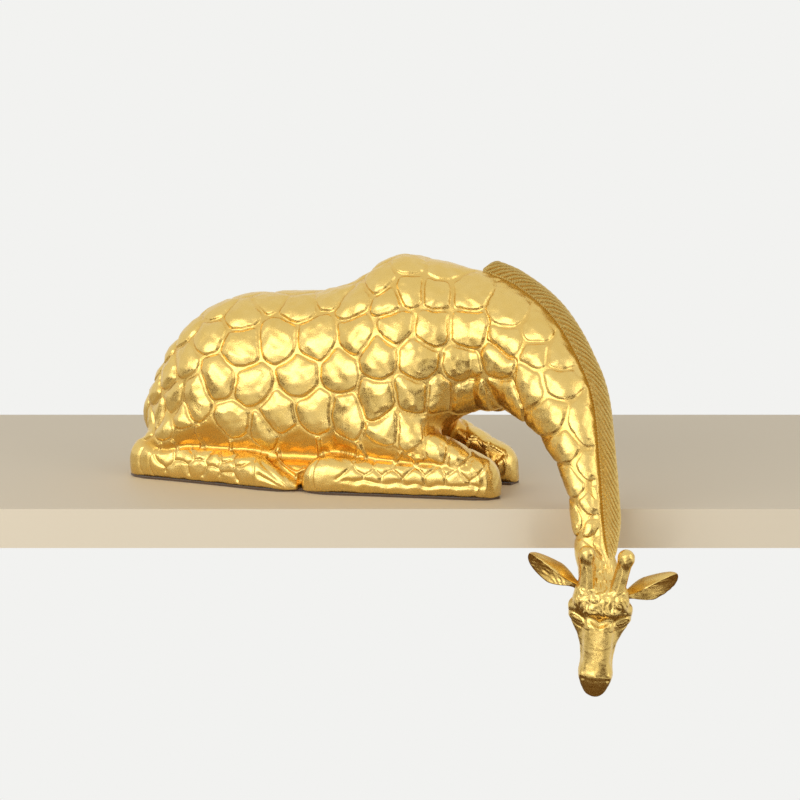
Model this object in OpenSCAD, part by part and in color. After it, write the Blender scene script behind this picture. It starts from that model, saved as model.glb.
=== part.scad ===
// Gilded shelf giraffe. A lying giraffe is carved in jointed blocks, and its neck
// arches over the shelf's edge so that the head hangs below the shelf.
// Frame: +X runs from the rump to the chest and +Z is up. The giraffe's right side
// faces -Y, towards the shelf's edge. The origin is on the shelf, under the middle
// of the lying body.

/* [Body] */
// Rearmost point of the rump, behind the origin
rump_reach = 141; // [137:1:145]
// Joint plane between the body and the neck, ahead of the origin
root_reach = 112; // [109:1:115]
// Height of the back over the loin
back_h = 132; // [126:1:138]
// Height of the withers
withers_h = 158; // [152:1:164]
// Height of the widest line at the rump's end
rump_mid_h = 42; // [39:1:45]
// Half of the body's width over the haunches
haunch_half_w = 47; // [45:1:50]
// Half of the body's width over the shoulders
shoulder_half_w = 45; // [43:1:48]
// Depth of the channels between the plates of the hide
plate_h = 2.8; // [2:0.2:3.4]
// Height of the brisket's front edge where the neck begins
throat_h = 52.5; // [50:0.5:55]
// Half of the width of the core that the legs are glued to
core_half_w = 28; // [26:0.5:30]
// Bore of the relief holes that keep the core from cracking
relief_bore = 30; // [20:1:32]
// Depth of the relief holes above the closing board
relief_depth = 60; // [30:1:75]

/* [Legs] */
// Front of the knees
knee_reach = 131; // [128:1:134]
// Distance of the hocks ahead of the rump
hock_inset = 1; // [0:0.5:3]
// Distance of the knees and the hocks from the middle
knee_y = 26.5; // [25:0.5:28]
// Distance of the hooves from the middle
hoof_y = 44; // [42:0.5:46]
// Half of the width of a lower leg
cannon_half_w = 12; // [11:0.5:13]
// Height of a lower leg's upper side
cannon_h = 25; // [23:0.5:27]
// Height of the elbow and the stifle
elbow_h = 60; // [56:1:62]

/* [Neck] */
// Half of the neck's depth at the body
root_half_d = 47; // [45:0.5:49]
// Half of the neck's width at the body
root_half_w = 34; // [32:0.5:36]
// Half of the neck's depth and width at the head
poll_half_w = 12.5; // [12:0.25:13.5]
// Width of the mane and of its flat seat on the neck
mane_w = 8; // [6:0.5:9]
// Height of the mane above its seat
mane_h = 9.5; // [8:0.5:12]

/* [Head] */
// Length of the head from the poll to the muzzle
head_len = 70; // [66:0.5:75]
// Half of the head's width at the brow
brow_half_w = 19.2; // [18:0.5:21]
// Half of the head's width at the nostrils
muzzle_half_w = 10; // [9:0.1:11.5]
// Length of an ear beyond its collar
ear_len = 31; // [27:0.5:35]
// Half of an ear's width
ear_half_w = 8.5; // [7:0.5:10]
// Length of an ossicone above its seat
horn_len = 30; // [25:0.5:34]
// Diameter of an ossicone's shaft
horn_d = 7.6; // [6.5:0.1:8.5]
// Diameter of an ossicone's knob
knob_d = 9.8; // [8.5:0.1:11]

/* [Tail] */
// Diameter of the tail
tail_d = 6; // [5:0.5:8]
// Diameter of the tail's tuft
tuft_d = 10; // [8:0.5:12]

/* [Base and fixings] */
// Thickness of the felt sole
felt_t = 1.5; // [1:0.25:2.5]
// Distance of the sole's edge inside the base
felt_inset = 2; // [1:0.5:4]
// Thickness of the board that closes the core
board_t = 10; // [8:0.5:12]
// Diameter of the dowels at the neck's root
root_dowel_d = 12; // [8:1:14]
// Length of the dowels at the neck's root
root_dowel_l = 50; // [36:1:56]
// Diameter of the dowel inside the neck
neck_dowel_d = 10; // [6:1:12]
// Length of the dowel inside the neck
neck_dowel_l = 36; // [24:1:40]
// Diameter of the dowel in the head
head_dowel_d = 7; // [5:0.5:8]
// Length of the dowel in the head
head_dowel_l = 24; // [18:1:26]
// Diameter of the dowels in the legs
leg_dowel_d = 8; // [6:0.5:10]
// Length of the dowels in the legs
leg_dowel_l = 20; // [14:1:22]
// Diameter of the tenons of the ears, the ossicones and the tail
tenon_d = 4.5; // [3.5:0.25:5.5]
// Length of the tenons
tenon_l = 8; // [6:0.5:9]
// Diameter of the board's screws
screw_d = 4; // [3:0.25:5]
// Length of the board's screws
screw_l = 30; // [20:1:40]
// Glue gap between carved faces
glue = 0.2; // [0.1:0.05:0.3]
// Clearance around dowels, tenons and screws, on the radius
fit = 0.15; // [0.1:0.05:0.25]

/* [Hidden] */
$fn = 48;
far = 400;
board_top = felt_t + board_t;
hock_reach = rump_reach - hock_inset;
gold = [0.85, 0.66, 0.25];
beech = [0.80, 0.62, 0.42];
steel = [0.62, 0.63, 0.65];
felt = [0.20, 0.18, 0.16];

// Lowest height of the trunk inside the core
belly_h = 0.1 * rump_mid_h;
breast_half_w = lerp(shoulder_half_w, root_half_w, 0.3);
// Trunk sections: [x, lowest z, highest z, half width, z of the widest line]
trunk_rows = [
    [-rump_reach, 0.88 * rump_mid_h, 1.14 * rump_mid_h, 0.11 * haunch_half_w, rump_mid_h],
    [-0.98 * rump_reach, 0.67 * rump_mid_h, 1.31 * rump_mid_h, 0.27 * haunch_half_w, rump_mid_h],
    [-0.935 * rump_reach, 0.45 * rump_mid_h, 1.6 * rump_mid_h, 0.45 * haunch_half_w, 1.02 * rump_mid_h],
    [-0.87 * rump_reach, 0.26 * rump_mid_h, 0.61 * back_h, 0.62 * haunch_half_w, 1.07 * rump_mid_h],
    [-0.79 * rump_reach, belly_h, 0.74 * back_h, 0.76 * haunch_half_w, 1.12 * rump_mid_h],
    [-0.675 * rump_reach, belly_h, 0.865 * back_h, 0.89 * haunch_half_w, 1.17 * rump_mid_h],
    [-0.56 * rump_reach, belly_h, 0.94 * back_h, 0.97 * haunch_half_w, 1.21 * rump_mid_h],
    [-0.42 * rump_reach, belly_h, 0.985 * back_h, haunch_half_w, 1.28 * rump_mid_h],
    [-0.25 * rump_reach, belly_h, back_h, 0.98 * haunch_half_w, 1.36 * rump_mid_h],
    [-0.035 * rump_reach, belly_h, 1.008 * back_h, shoulder_half_w, 1.43 * rump_mid_h],
    [0.09 * root_reach, belly_h, lerp(back_h, withers_h, 0.15), 0.98 * shoulder_half_w, 1.48 * rump_mid_h],
    [0.22 * root_reach, belly_h, lerp(back_h, withers_h, 0.35), 0.98 * shoulder_half_w, 1.52 * rump_mid_h],
    [0.36 * root_reach, belly_h, lerp(back_h, withers_h, 0.75), 0.99 * shoulder_half_w, 1.6 * rump_mid_h],
    [0.5 * root_reach, belly_h, withers_h, shoulder_half_w, 1.67 * rump_mid_h],
    [0.64 * root_reach, 0.2 * throat_h, 0.987 * withers_h, 0.98 * shoulder_half_w, 1.76 * rump_mid_h],
    [0.76 * root_reach, 0.58 * throat_h, 0.97 * withers_h, breast_half_w, 1.9 * rump_mid_h],
    [0.87 * root_reach, 0.86 * throat_h, 0.95 * withers_h, 0.92 * breast_half_w, 2.14 * rump_mid_h],
    [root_reach, throat_h, throat_h + 2 * root_half_d, root_half_w, throat_h + root_half_d]
];
// Swellings on the trunk's side: [x, z, reach in x, reach in z, height]
swells = [
    [-0.5 * rump_reach, 0.59 * back_h, 0.24 * rump_reach, 0.26 * back_h, 0.085 * haunch_half_w],
    [0.52 * root_reach, 0.53 * withers_h, 0.23 * root_reach, 0.25 * withers_h, 0.11 * shoulder_half_w]
];

// Neck stations: [x, y, z, half depth, half width, lean of the upper side towards +X]
neck_rows = [
    [root_reach, 0, throat_h + root_half_d, root_half_d, root_half_w, 0],
    [127, -6, 95.5, 0.94 * root_half_d, 0.92 * root_half_w, 6],
    [146, -16, 87, 0.79 * root_half_d, 0.79 * root_half_w, 13],
    [163, -28, 72, lerp(root_half_d, poll_half_w, 0.5), lerp(root_half_w, poll_half_w, 0.5), 26],
    [175, -37, 57, lerp(root_half_d, poll_half_w, 0.68), lerp(root_half_w, poll_half_w, 0.67), 38],
    [187.5, -49, 29, 1.2 * poll_half_w, 1.2 * poll_half_w, 57],
    [192.5, -56, 11, poll_half_w, 1.05 * poll_half_w, 74],
    [196, -62, -8, 0.92 * poll_half_w, 0.95 * poll_half_w, 86],
    [199, -66.5, -22, 0.94 * poll_half_w, 0.96 * poll_half_w, 90],
    [204.5, -71, -36, poll_half_w, poll_half_w, 90]
];
neck_steps = 40;
neck_ease = 8;
scarf_step = 20;
neck_points = 60;

// Plates of the hide. A plate's lower edge hangs in a bow below its centre
plate_edge = 13;
plate_lean = 0.45;
plate_drop = 5.5;
// Centres of the plates on the trunk's side: [section, angle about the section]
trunk_plates = [
    [1.2, 11], [2.5, 64], [3.5, 63], [3.1, 25], [2.6, -13], [3.5, 1], [4.3, -6], [4.3, 26],
    [4.6, 7], [5.3, -2], [5.3, 28], [4.8, 59], [6.3, 40], [5.9, 3], [6.4, 67], [7, 11],
    [7.4, -12], [7.6, 26], [7.4, 54], [7.9, 7], [8.2, -20], [8.5, 30], [8.5, -10], [8, 69],
    [8.8, 60], [9, 9], [9.8, 29], [9.9, -8], [10.1, 67], [11, 9], [11.4, -12], [11.7, 26],
    [11.4, 48], [12.8, 11], [12.8, -5], [13.5, 26], [12.5, 56], [13.1, 39], [13.6, 71], [13.9, 45],
    [14.4, -8], [14.7, 6], [15.3, 21], [15.2, 45], [15.2, 75], [15.7, -23], [16.6, -11], [16.9, 11],
    [16.7, 44], [17, -40]
];
// Centres of the plates that cross the middle of the back: sections
back_plates = [1.7, 2.7, 4.2, 5.6, 7, 8.4, 10.9, 12.3];
// Centres of the hollows above the lower legs: [section, angle about the section]
trunk_hollows = [[5.5, -25], [6.7, -27], [7.6, -36], [8.9, -34], [11, -36], [12.9, -36], [14.8, -49]];
// Centres of the plates on the neck: [station, angle about the station]
neck_plates = [
    [1.3, -8], [1.8, -36], [1.8, 25], [1.4, 44], [2.1, 52], [2.5, 38], [2.8, 55], [3.1, 2],
    [3.4, 37], [4, -1], [4.5, 54], [4.7, 7], [5.2, 45], [5.5, 3], [6.2, 37], [6.9, 24]
];
trunk_steps = 62;
trunk_points = 84;

// Head frame: it hangs from the last neck station, rolled and turned
head_roll = 3;
head_turn = 8;
head_at = [for (i = [0:2]) neck_rows[len(neck_rows) - 1][i]];
head_up = [sin(head_roll) * cos(head_turn), sin(head_roll) * sin(head_turn), cos(head_roll)];
// Head sections: [share of the length, half width, front y, rear y]
head_rows = [
    [0, poll_half_w, -poll_half_w, poll_half_w],
    [0.06, 0.78 * brow_half_w, -18.5, 15],
    [0.16, 0.95 * brow_half_w, -22.5, 17],
    [0.27, brow_half_w, -24, 17.5],
    [0.38, 0.93 * brow_half_w, -23.5, 16.5],
    [0.50, 0.71 * brow_half_w, -21.5, 13],
    [0.62, 0.99 * muzzle_half_w, -20, 9],
    [0.70, 0.91 * muzzle_half_w, -19, 7],
    [0.81, muzzle_half_w, -19, 6],
    [0.90, 0.92 * muzzle_half_w, -18, 4.5],
    [0.965, 0.65 * muzzle_half_w, -15.5, 1],
    [1, 0.25 * muzzle_half_w, -11.5, -5]
];

// Lower legs, from the joint behind to the one ahead: [share of the way, half width, top height]
fore_shape = [
    [0, 0.35, 0.45], [0.04, 0.75, 0.72], [0.11, 1, 0.98], [0.2, 1.02, 1], [0.35, 0.96, 0.95],
    [0.6, 0.98, 0.97], [0.78, 1.02, 1.04], [0.88, 1.02, 1.12], [0.95, 0.86, 1.04], [1, 0.35, 0.72]
];
hind_shape = [
    [0, 0.4, 0.85], [0.04, 0.8, 1.06], [0.12, 1.05, 1.1], [0.25, 0.98, 1.02], [0.45, 0.95, 1.02],
    [0.65, 0.98, 0.96], [0.82, 1.05, 0.88], [0.93, 0.95, 0.8], [1, 0.4, 0.5]
];
fore_hoof_x = 2;
hind_hoof_x = -6;
legs_meet_x = -2;
fore_way = [[fore_hoof_x, hoof_y], [knee_reach, knee_y]];
hind_way = [[-hock_reach, knee_y], [hind_hoof_x, hoof_y]];
// Upper legs: [x, y, half width, lowest z, highest z]
forearm_rows = [
    [0.17 * knee_reach, 33, 9, 0.5 * elbow_h, 0.8 * elbow_h],
    [0.26 * knee_reach, 34, 13, 0.4 * elbow_h, 0.95 * elbow_h],
    [0.4 * knee_reach, 34, 14, 0.33 * elbow_h, elbow_h],
    [0.565 * knee_reach, 32, 14.5, 0.3 * elbow_h, 0.87 * elbow_h],
    [0.72 * knee_reach, 29.5, 13.5, 0.27 * elbow_h, 0.68 * elbow_h],
    [0.855 * knee_reach, 27.5, 12, 0.2 * elbow_h, 0.52 * elbow_h],
    [0.945 * knee_reach, knee_y, 8, 0.17 * elbow_h, 0.42 * elbow_h]
];
gaskin_rows = [
    [-0.97 * hock_reach, knee_y, 6, 0.13 * elbow_h, 0.37 * elbow_h],
    [-0.9 * hock_reach, 27, 10, 0.13 * elbow_h, 0.52 * elbow_h],
    [-0.77 * hock_reach, 30, 12.5, 0.23 * elbow_h, 0.73 * elbow_h],
    [-0.63 * hock_reach, 33, 14, 0.43 * elbow_h, 0.92 * elbow_h],
    [-0.485 * hock_reach, 35, 13.5, 0.57 * elbow_h, elbow_h],
    [-0.385 * hock_reach, 35, 9, 0.7 * elbow_h, 0.93 * elbow_h]
];
// Joint outlines of the legs against the core, seen from the side
foreleg_seat = [
    [legs_meet_x, 0], [legs_meet_x, 32], [20, elbow_h + 4], [60, elbow_h + 5],
    [root_reach - 24, elbow_h - 9], [118, elbow_h - 28], [160, elbow_h - 28], [160, 0]
];
hindleg_seat = [
    [legs_meet_x, 0], [legs_meet_x, 32], [-0.21 * hock_reach, elbow_h], [-0.53 * hock_reach, elbow_h + 4],
    [-0.82 * hock_reach, elbow_h - 10], [-1.2 * hock_reach, elbow_h - 26], [-1.2 * hock_reach, 0]
];
board_front = root_reach - 36;
board_rear = 22 - hock_reach;
inner_leg_y = 13;
knee_seat_h = 31;
hock_seat_h = 26;

relief_x = [-0.56 * hock_reach, -0.19 * hock_reach, 26];
screw_x = [-0.74 * hock_reach, -0.375 * hock_reach, 0, 52];
leg_dowel_h = 36;
fore_dowel_x = [30, 72];
hind_dowel_x = [-0.74 * hock_reach, -0.375 * hock_reach];
root_dowel_z = [-16, 17];

// Seats in the head frame
left_ear_at = [14.5, 1, -8.5];
right_ear_at = [-15.5, 1, -4.5];
right_ear_turn = 56;
left_ear_turn = 61;
ear_collar_d = 9;
horn_at = [8.3, -14.5, -5];
horn_lean = 9;
left_horn_spread = 10;
right_horn_spread = 4;
horn_seat_d = 11;
seat_sink = 2.5;

// Where the tail lies on the trunk: [section, angle about the section]
tail_spots = [[3.2, 84], [2.5, 74], [2.1, 56], [1.95, 34], [2.2, 12], [2.7, -2], [3.1, -8]];
// Mane section: [share of half the width, share of the height]
mane_outline = [[-1, 0], [-1, 0.6], [-0.7, 0.9], [0, 1], [0.7, 0.9], [1, 0.6], [1, 0]];
tail_girth = [1, 0.95, 0.85, 0.8, 0.85, 1, 0.7];

function lerp(a, b, t) = a + (b - a) * t;
function unit(v) = v / norm(v);

// Smooth curve through the rows, between rows b and c at share t
function ease(a, b, c, d, t) =
    0.5 * (2 * b + (c - a) * t + (2 * a - 5 * b + 4 * c - d) * t * t
        + (3 * b - a - 3 * c + d) * t * t * t);
function row_at(rows, u) =
    let (last = len(rows) - 1, i = max(0, min(floor(u), last - 1)))
    ease(rows[max(i - 1, 0)], rows[i], rows[i + 1], rows[min(i + 2, last)], u - i);
function faired(rows, steps) =
    [for (k = [0:steps]) row_at(rows, k * (len(rows) - 1) / steps)];

// Rounded square wave of an angle: 2 is a circle's, and higher powers are squarer
function round_cos(a, power) = sign(cos(a)) * pow(abs(cos(a)), 2 / power);
function round_sin(a, power) = sign(sin(a)) * pow(abs(sin(a)), 2 / power);

// Sum of the swellings at a place on the trunk's side
function swell(x, z) =
    let (each_one = [for (s = swells) s[4] * exp(-pow((x - s[0]) / s[2], 2) - pow((z - s[1]) / s[3], 2))])
    each_one * [for (s = swells) 1];

function trunk_point(r, a) =
    let (
        high = r[2] - r[4],
        low = r[4] - r[1],
        z = r[4] + (sin(a) > 0 ? high : low) * round_sin(a, 2.3),
        grow = min(1, r[3] / haunch_half_w) * swell(r[0], z)
    )
    [r[0], (r[3] + grow) * round_cos(a, 2.5), z];

// Place of a section on the rows of the trunk, from its x
function section_at(x) = lookup(x, [for (i = [0:len(trunk_rows) - 1]) [trunk_rows[i][0], i]]);

function leg_ring(x, y, half_w, low, high, points) =
    [for (k = [0:points - 1]) let (a = 360 * k / points)
        [x, y + half_w * round_cos(a, 2.8), (low + high) / 2 + (high - low) / 2 * round_sin(a, 2.8)]];

// Neck frame at a step: [centre, forward, upper side, left side, half depth, half width]
neck_line = faired(neck_rows, neck_steps);
function place(r) = [r[0], r[1], r[2]];
// The sections turn gently from the joint planes at both ends to the neck's own line
function neck_forward(k) =
    let (
        ahead = place(neck_line[min(k + 1, neck_steps)]),
        behind = place(neck_line[max(k - 1, 0)]),
        end = 2 * k < neck_steps ? [1, 0, 0] : -head_up
    )
    unit(lerp(end, unit(ahead - behind), min(1, min(k, neck_steps - k) / neck_ease)));
function neck_frame(k) =
    let (
        r = neck_line[k],
        forward = neck_forward(k),
        lean = [sin(r[5]), -0.5 * pow(sin(r[5]), 3), cos(r[5])],
        upper = unit(lean - (lean * forward) * forward)
    )
    [place(r), forward, upper, cross(upper, forward), r[3], r[4]];
// Centres of the plates and of the hollows in space, on the giraffe's right side
function near_side(p) = [p[0], -abs(p[1]), p[2]];
plate_spots = concat(
    [for (s = trunk_plates) near_side(trunk_point(row_at(trunk_rows, s[0]), s[1]))],
    [for (s = back_plates) near_side(trunk_point(row_at(trunk_rows, s), 90))],
    [for (s = neck_plates) let (f = neck_frame(round(s[0] * neck_steps / (len(neck_rows) - 1))))
        f[0] + f[4] * sin(s[1]) * f[2] - f[5] * cos(s[1]) * f[3]]
);
hollow_spots = [for (s = trunk_hollows) near_side(trunk_point(row_at(trunk_rows, s[0]), s[1]))];

// Claim of each spot on a place: its distance, less a share of how far down it hangs
function claims(p, spots) =
    let (past = root_reach - 12, ahead = p[0] > past ? 0.35 : 0, from = p + plate_drop * [-ahead, 0, 1])
    [for (s = spots) if (abs(s[0] - p[0]) < 45)
        norm(from - s) - plate_lean * (0.35 * max(s[0] - past, 0) - s[2])];
// Height of the hide at a place on the right side: nought on a plate's crown
function hide_rise(p) =
    let (
        plates = claims(p, plate_spots),
        hollow = min(concat([far], claims(p, hollow_spots))),
        first = min(plates),
        second = min(hollow, min([for (c = plates) if (c > first) c])),
        share = max(0, min(1, (second - first) / plate_edge))
    )
    -plate_h * pow(1 - share * share, 2);

// Height of the mane's flat seat above the neck's centre line
function seat_h(f) = f[4] * sqrt(1 - pow(mane_w / 2 / f[5], 2));
// Neck section with its plates, which leave the mane's seat and the poll plain
function neck_ring(k, shift = 0) =
    let (f = neck_frame(k), seat = seat_h(f), to_poll = (neck_steps - k - 4) / 6)
    [for (i = [0:neck_points - 1])
        let (
            a = 360 * (i + 0.5) / neck_points,
            near = f[0] + f[4] * sin(a) * f[2] - f[5] * abs(cos(a)) * f[3],
            from_mane = (norm(near - f[0] - f[4] * f[2]) - mane_w / 2 - 2) / 3,
            rise = max(0, min(1, from_mane, to_poll)) * hide_rise(near),
            out = unit([f[4] * cos(a), f[5] * sin(a)])
        )
        f[0] + shift * f[1] + min(f[4] * sin(a) + rise * out[1], max(seat, 0)) * f[2]
            + (f[5] * cos(a) + rise * out[0]) * f[3]];

function tail_spot(s) = trunk_point(row_at(trunk_rows, s[0]), s[1]);
tail_line = [for (s = faired(tail_spots, 14)) tail_spot(s)];
function tail_out(s) =
    unit(cross(tail_spot(s + [0.05, 0]) - tail_spot(s - [0.05, 0]),
               tail_spot(s - [0, 3]) - tail_spot(s + [0, 3])));

// Share of the hide's height that is left at a place: none by the board, under the tail
// and on the brisket
function hide_share(p) =
    let (
        low = (p[2] - board_top - 4) / 8,
        tail_gap = p[1] > 0 ? min([for (t = tail_line) norm(p - t)]) - tuft_d / 2 - 1 : 4,
        brisket = p[0] > board_front ? (p[2] - throat_h) / 10 : 1
    )
    max(0, min(1, low, tail_gap / 4, brisket));
function hide_point(r, a) =
    let (p = trunk_point(r, a), way = trunk_point(r, a + 2) - trunk_point(r, a - 2))
    p + hide_share(p) * hide_rise(near_side(p)) * unit([0, way[2], -way[1]]);

// Closed skin over rings of points. Each four-sided patch is split along its shorter
// diagonal, so that the folds follow the valleys
module skin(rings) {
    n = len(rings[0]);
    m = len(rings);
    polyhedron(
        points = [for (r = rings) each r],
        faces = [
            [for (i = [0:n - 1]) i],
            [for (i = [n - 1:-1:0]) (m - 1) * n + i],
            for (k = [0:m - 2], i = [0:n - 1])
                let (
                    j = (i + 1) % n,
                    p = [k * n + i, (k + 1) * n + i, (k + 1) * n + j, k * n + j],
                    straight = norm(rings[k][i] - rings[k + 1][j]) <= norm(rings[k + 1][i] - rings[k][j])
                )
                each straight
                    ? [[p[0], p[1], p[2]], [p[0], p[2], p[3]]]
                    : [[p[1], p[2], p[3]], [p[1], p[3], p[0]]]
        ],
        convexity = 6
    );
}

// All that is carved from one block, as one closed skin
module carved() {
    resize([0, 0, 0]) children();
}

module both_sides() {
    children();
    mirror([0, 1, 0]) children();
}

module in_head() {
    translate(head_at) rotate([0, head_roll, head_turn]) children();
}

module trunk_form() {
    skin([for (k = [0:trunk_steps])
        let (
            x = lerp(-rump_reach, root_reach, pow(k / trunk_steps, 1.15)),
            r = row_at(trunk_rows, section_at(x))
        )
        [for (i = [0:trunk_points - 1]) hide_point(r, 360 * (i + 0.5) / trunk_points)]]);
}

module lower_leg(way, shape) {
    skin([for (s = faired(shape, 16)) let (p = lerp(way[0], way[1], s[0]))
        leg_ring(p[0], p[1], s[1] * cannon_half_w, felt_t - 2, s[2] * cannon_h, 20)]);
}

module upper_leg(rows) {
    skin([for (r = faired(rows, 12)) leg_ring(r[0], r[1], r[2], r[3], r[4], 20)]);
}

// Legs of the giraffe's left side
module foreleg_form() {
    lower_leg(fore_way, fore_shape);
    upper_leg(forearm_rows);
}

module hindleg_form() {
    lower_leg(hind_way, hind_shape);
    upper_leg(gaskin_rows);
}

// Space of a left leg's block beside the core, grown by a gap
module leg_space(outline, end_x, end_h, gap) {
    translate([0, core_half_w - gap, 0])
        rotate([90, 0, 0]) mirror([0, 0, 1]) linear_extrude(far) offset(delta = gap) polygon(outline);
    ahead = end_x > 0 ? end_x - gap : end_x + gap - far;
    translate([ahead, inner_leg_y - gap, 0]) cube([far, far, end_h + gap]);
}

module foreleg_space(gap) {
    leg_space(foreleg_seat, board_front, knee_seat_h, gap);
}

module hindleg_space(gap) {
    leg_space(hindleg_seat, board_rear, hock_seat_h, gap);
}

module above(z) {
    translate([-far, -far, z]) cube([2 * far, 2 * far, far]);
}

module leg_dowel_rods(xs, gap) {
    for (x = xs)
        translate([x, core_half_w - leg_dowel_l / 2 - gap, leg_dowel_h])
            rotate([-90, 0, 0]) cylinder(d = leg_dowel_d + 2 * gap, h = leg_dowel_l + 2 * gap);
}

module root_dowel_rods(gap) {
    for (z = root_dowel_z)
        translate([root_reach - root_dowel_l / 2 - gap, -2, throat_h + root_half_d + z])
            rotate([0, 90, 0]) cylinder(d = root_dowel_d + 2 * gap, h = root_dowel_l + 2 * gap);
}

// Turns a shape's +Z to a direction
module facing(v) {
    rotate([0, acos(v[2] / norm(v)), atan2(v[1], v[0])]) children();
}

module neck_dowel_rod(gap) {
    f = neck_frame(scarf_step);
    translate(f[0]) facing(f[1])
        cylinder(d = neck_dowel_d + 2 * gap, h = neck_dowel_l + 2 * gap, center = true);
}

module head_dowel_rod(gap) {
    in_head() cylinder(d = head_dowel_d + 2 * gap, h = head_dowel_l + 2 * gap, center = true);
}

module screw_places() {
    for (x = screw_x) translate([x, 0, felt_t]) children();
}

module screw_rod(gap) {
    cylinder(d = screw_d + 2 * gap, h = screw_l + gap);
    cylinder(d1 = 2 * screw_d + 2 * gap, d2 = screw_d + 2 * gap, h = screw_d / 2);
}

module tail_tenon(gap) {
    out = tail_out(tail_spots[0]);
    translate(tail_spot(tail_spots[0]) + (tail_d / 2) * out) facing(-out)
        cylinder(d = tenon_d + 2 * gap, h = tail_d / 2 + tenon_l + gap);
}

module torso() {
    color(gold) difference() {
        carved() difference() {
            intersection() {
                union() {
                    trunk_form();
                    both_sides() {
                        foreleg_form();
                        hindleg_form();
                    }
                }
                above(board_top + glue);
            }
            both_sides() {
                foreleg_space(glue);
                hindleg_space(glue);
            }
        }
        for (x = relief_x)
            translate([x, 0, 0]) cylinder(d = relief_bore, h = board_top + relief_depth);
        screw_places() screw_rod(fit);
        both_sides() {
            leg_dowel_rods(fore_dowel_x, fit);
            leg_dowel_rods(hind_dowel_x, fit);
        }
        root_dowel_rods(fit);
        tail_tenon(fit);
    }
}

module left_foreleg() {
    color(gold) difference() {
        carved() intersection() {
            union() {
                trunk_form();
                foreleg_form();
            }
            foreleg_space(0);
            above(felt_t);
        }
        leg_dowel_rods(fore_dowel_x, fit);
    }
}

module right_foreleg() {
    mirror([0, 1, 0]) left_foreleg();
}

module left_hindleg() {
    color(gold) difference() {
        carved() intersection() {
            union() {
                trunk_form();
                hindleg_form();
            }
            hindleg_space(0);
            above(felt_t);
        }
        leg_dowel_rods(hind_dowel_x, fit);
    }
}

module right_hindleg() {
    mirror([0, 1, 0]) left_hindleg();
}

module neck_lower() {
    color(gold) difference() {
        skin([for (k = [0:scarf_step]) neck_ring(k, k == 0 ? glue : 0)]);
        root_dowel_rods(fit);
        neck_dowel_rod(fit);
    }
}

module neck_upper() {
    color(gold) difference() {
        skin([for (k = [scarf_step:neck_steps]) neck_ring(k, k == scarf_step ? glue : 0)]);
        neck_dowel_rod(fit);
        head_dowel_rod(fit);
    }
}

module mane() {
    last = neck_steps - 4;
    color(gold) skin([for (k = [0:last])
        let (
            f = neck_frame(k),
            foot = seat_h(f) + glue,
            h = mane_h * min(1, 0.12 + 0.5 * k, 0.12 + 0.22 * (last - k)),
            w = mane_w / 2
        )
        [for (p = mane_outline)
            f[0] + (k == 0 ? glue : 0) * f[1] + (foot + p[1] * h) * f[2] - p[0] * w * f[3]]]);
}

module head() {
    color(gold) difference() {
        in_head() skin([for (r = faired(head_rows, 22))
            [for (i = [0:31]) let (a = 360 * i / 32)
                [r[1] * round_cos(a, 2.2), (r[2] + r[3]) / 2 - (r[3] - r[2]) / 2 * round_sin(a, 2.2),
                    -glue - r[0] * (head_len - glue)]]]);
        head_dowel_rod(fit);
        in_head() {
            left_horn_place() seat_hole(horn_seat_d);
            right_horn_place() seat_hole(horn_seat_d);
            left_ear_place() seat_hole(ear_collar_d);
            right_ear_place() seat_hole(ear_collar_d);
        }
    }
}

// Seat for a collar, and the tenon hole below it
module seat_hole(collar_d) {
    cylinder(d = collar_d + 2 * fit, h = 3 * seat_sink);
    translate([0, 0, -tenon_l - fit]) cylinder(d = tenon_d + 2 * fit, h = tenon_l + 2 * fit);
}

module left_ear_place() {
    translate(left_ear_at) rotate([0, left_ear_turn, 0]) children();
}

module right_ear_place() {
    translate(right_ear_at) rotate([0, -right_ear_turn, 0]) children();
}

module left_horn_place() {
    translate(horn_at) rotate([horn_lean, left_horn_spread, 0]) children();
}
module right_horn_place() {
    translate([-horn_at[0], horn_at[1], horn_at[2]]) rotate([horn_lean, -right_horn_spread, 0]) children();
}

// A cupped leaf on a collar, with its tenon
module ear() {
    steps = 12;
    translate([0, 0, glue - tenon_l]) cylinder(d = tenon_d, h = tenon_l + seat_sink);
    carved() {
        translate([0, 0, glue]) cylinder(d = ear_collar_d, h = seat_sink + 2, $fn = 24);
        skin([for (k = [0:steps])
            let (
                t = k / steps,
                w = lerp(ear_collar_d / 2 - 0.5, ear_half_w, sin(120 * t)) * sqrt(max(0.02, 1 - pow(t, 3))),
                thick = lerp(2, 0.9, t)
            )
            [for (i = [0:15]) let (a = 360 * i / 16, cup = 3 * t * (1 - pow(cos(a), 2)))
                [w * cos(a), thick * sin(a) + cup, seat_sink + t * ear_len]]]);
    }
}

// A turned horn with a knob and a flared foot
module ossicone() {
    rotate_extrude() polygon([
        [0, glue - tenon_l], [tenon_d / 2, glue - tenon_l], [tenon_d / 2, glue],
        [horn_seat_d / 2, glue], [horn_seat_d / 2, seat_sink], [horn_d / 2 + 0.5, seat_sink + 3],
        [horn_d / 2, seat_sink + 6], [0.94 * horn_d / 2, horn_len - knob_d],
        [knob_d / 2 - 0.4, horn_len - 0.75 * knob_d], [knob_d / 2, horn_len - 0.5 * knob_d],
        [knob_d / 2 - 0.4, horn_len - 0.25 * knob_d], [0.6 * knob_d / 2, horn_len - 0.06 * knob_d],
        [0.25 * knob_d / 2, horn_len], [0, horn_len]
    ]);
}

module left_ear() {
    color(gold) in_head() left_ear_place() ear();
}

module right_ear() {
    color(gold) in_head() right_ear_place() ear();
}

module left_ossicone() {
    color(gold) in_head() left_horn_place() ossicone();
}

module right_ossicone() {
    color(gold) in_head() right_horn_place() ossicone();
}

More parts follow.
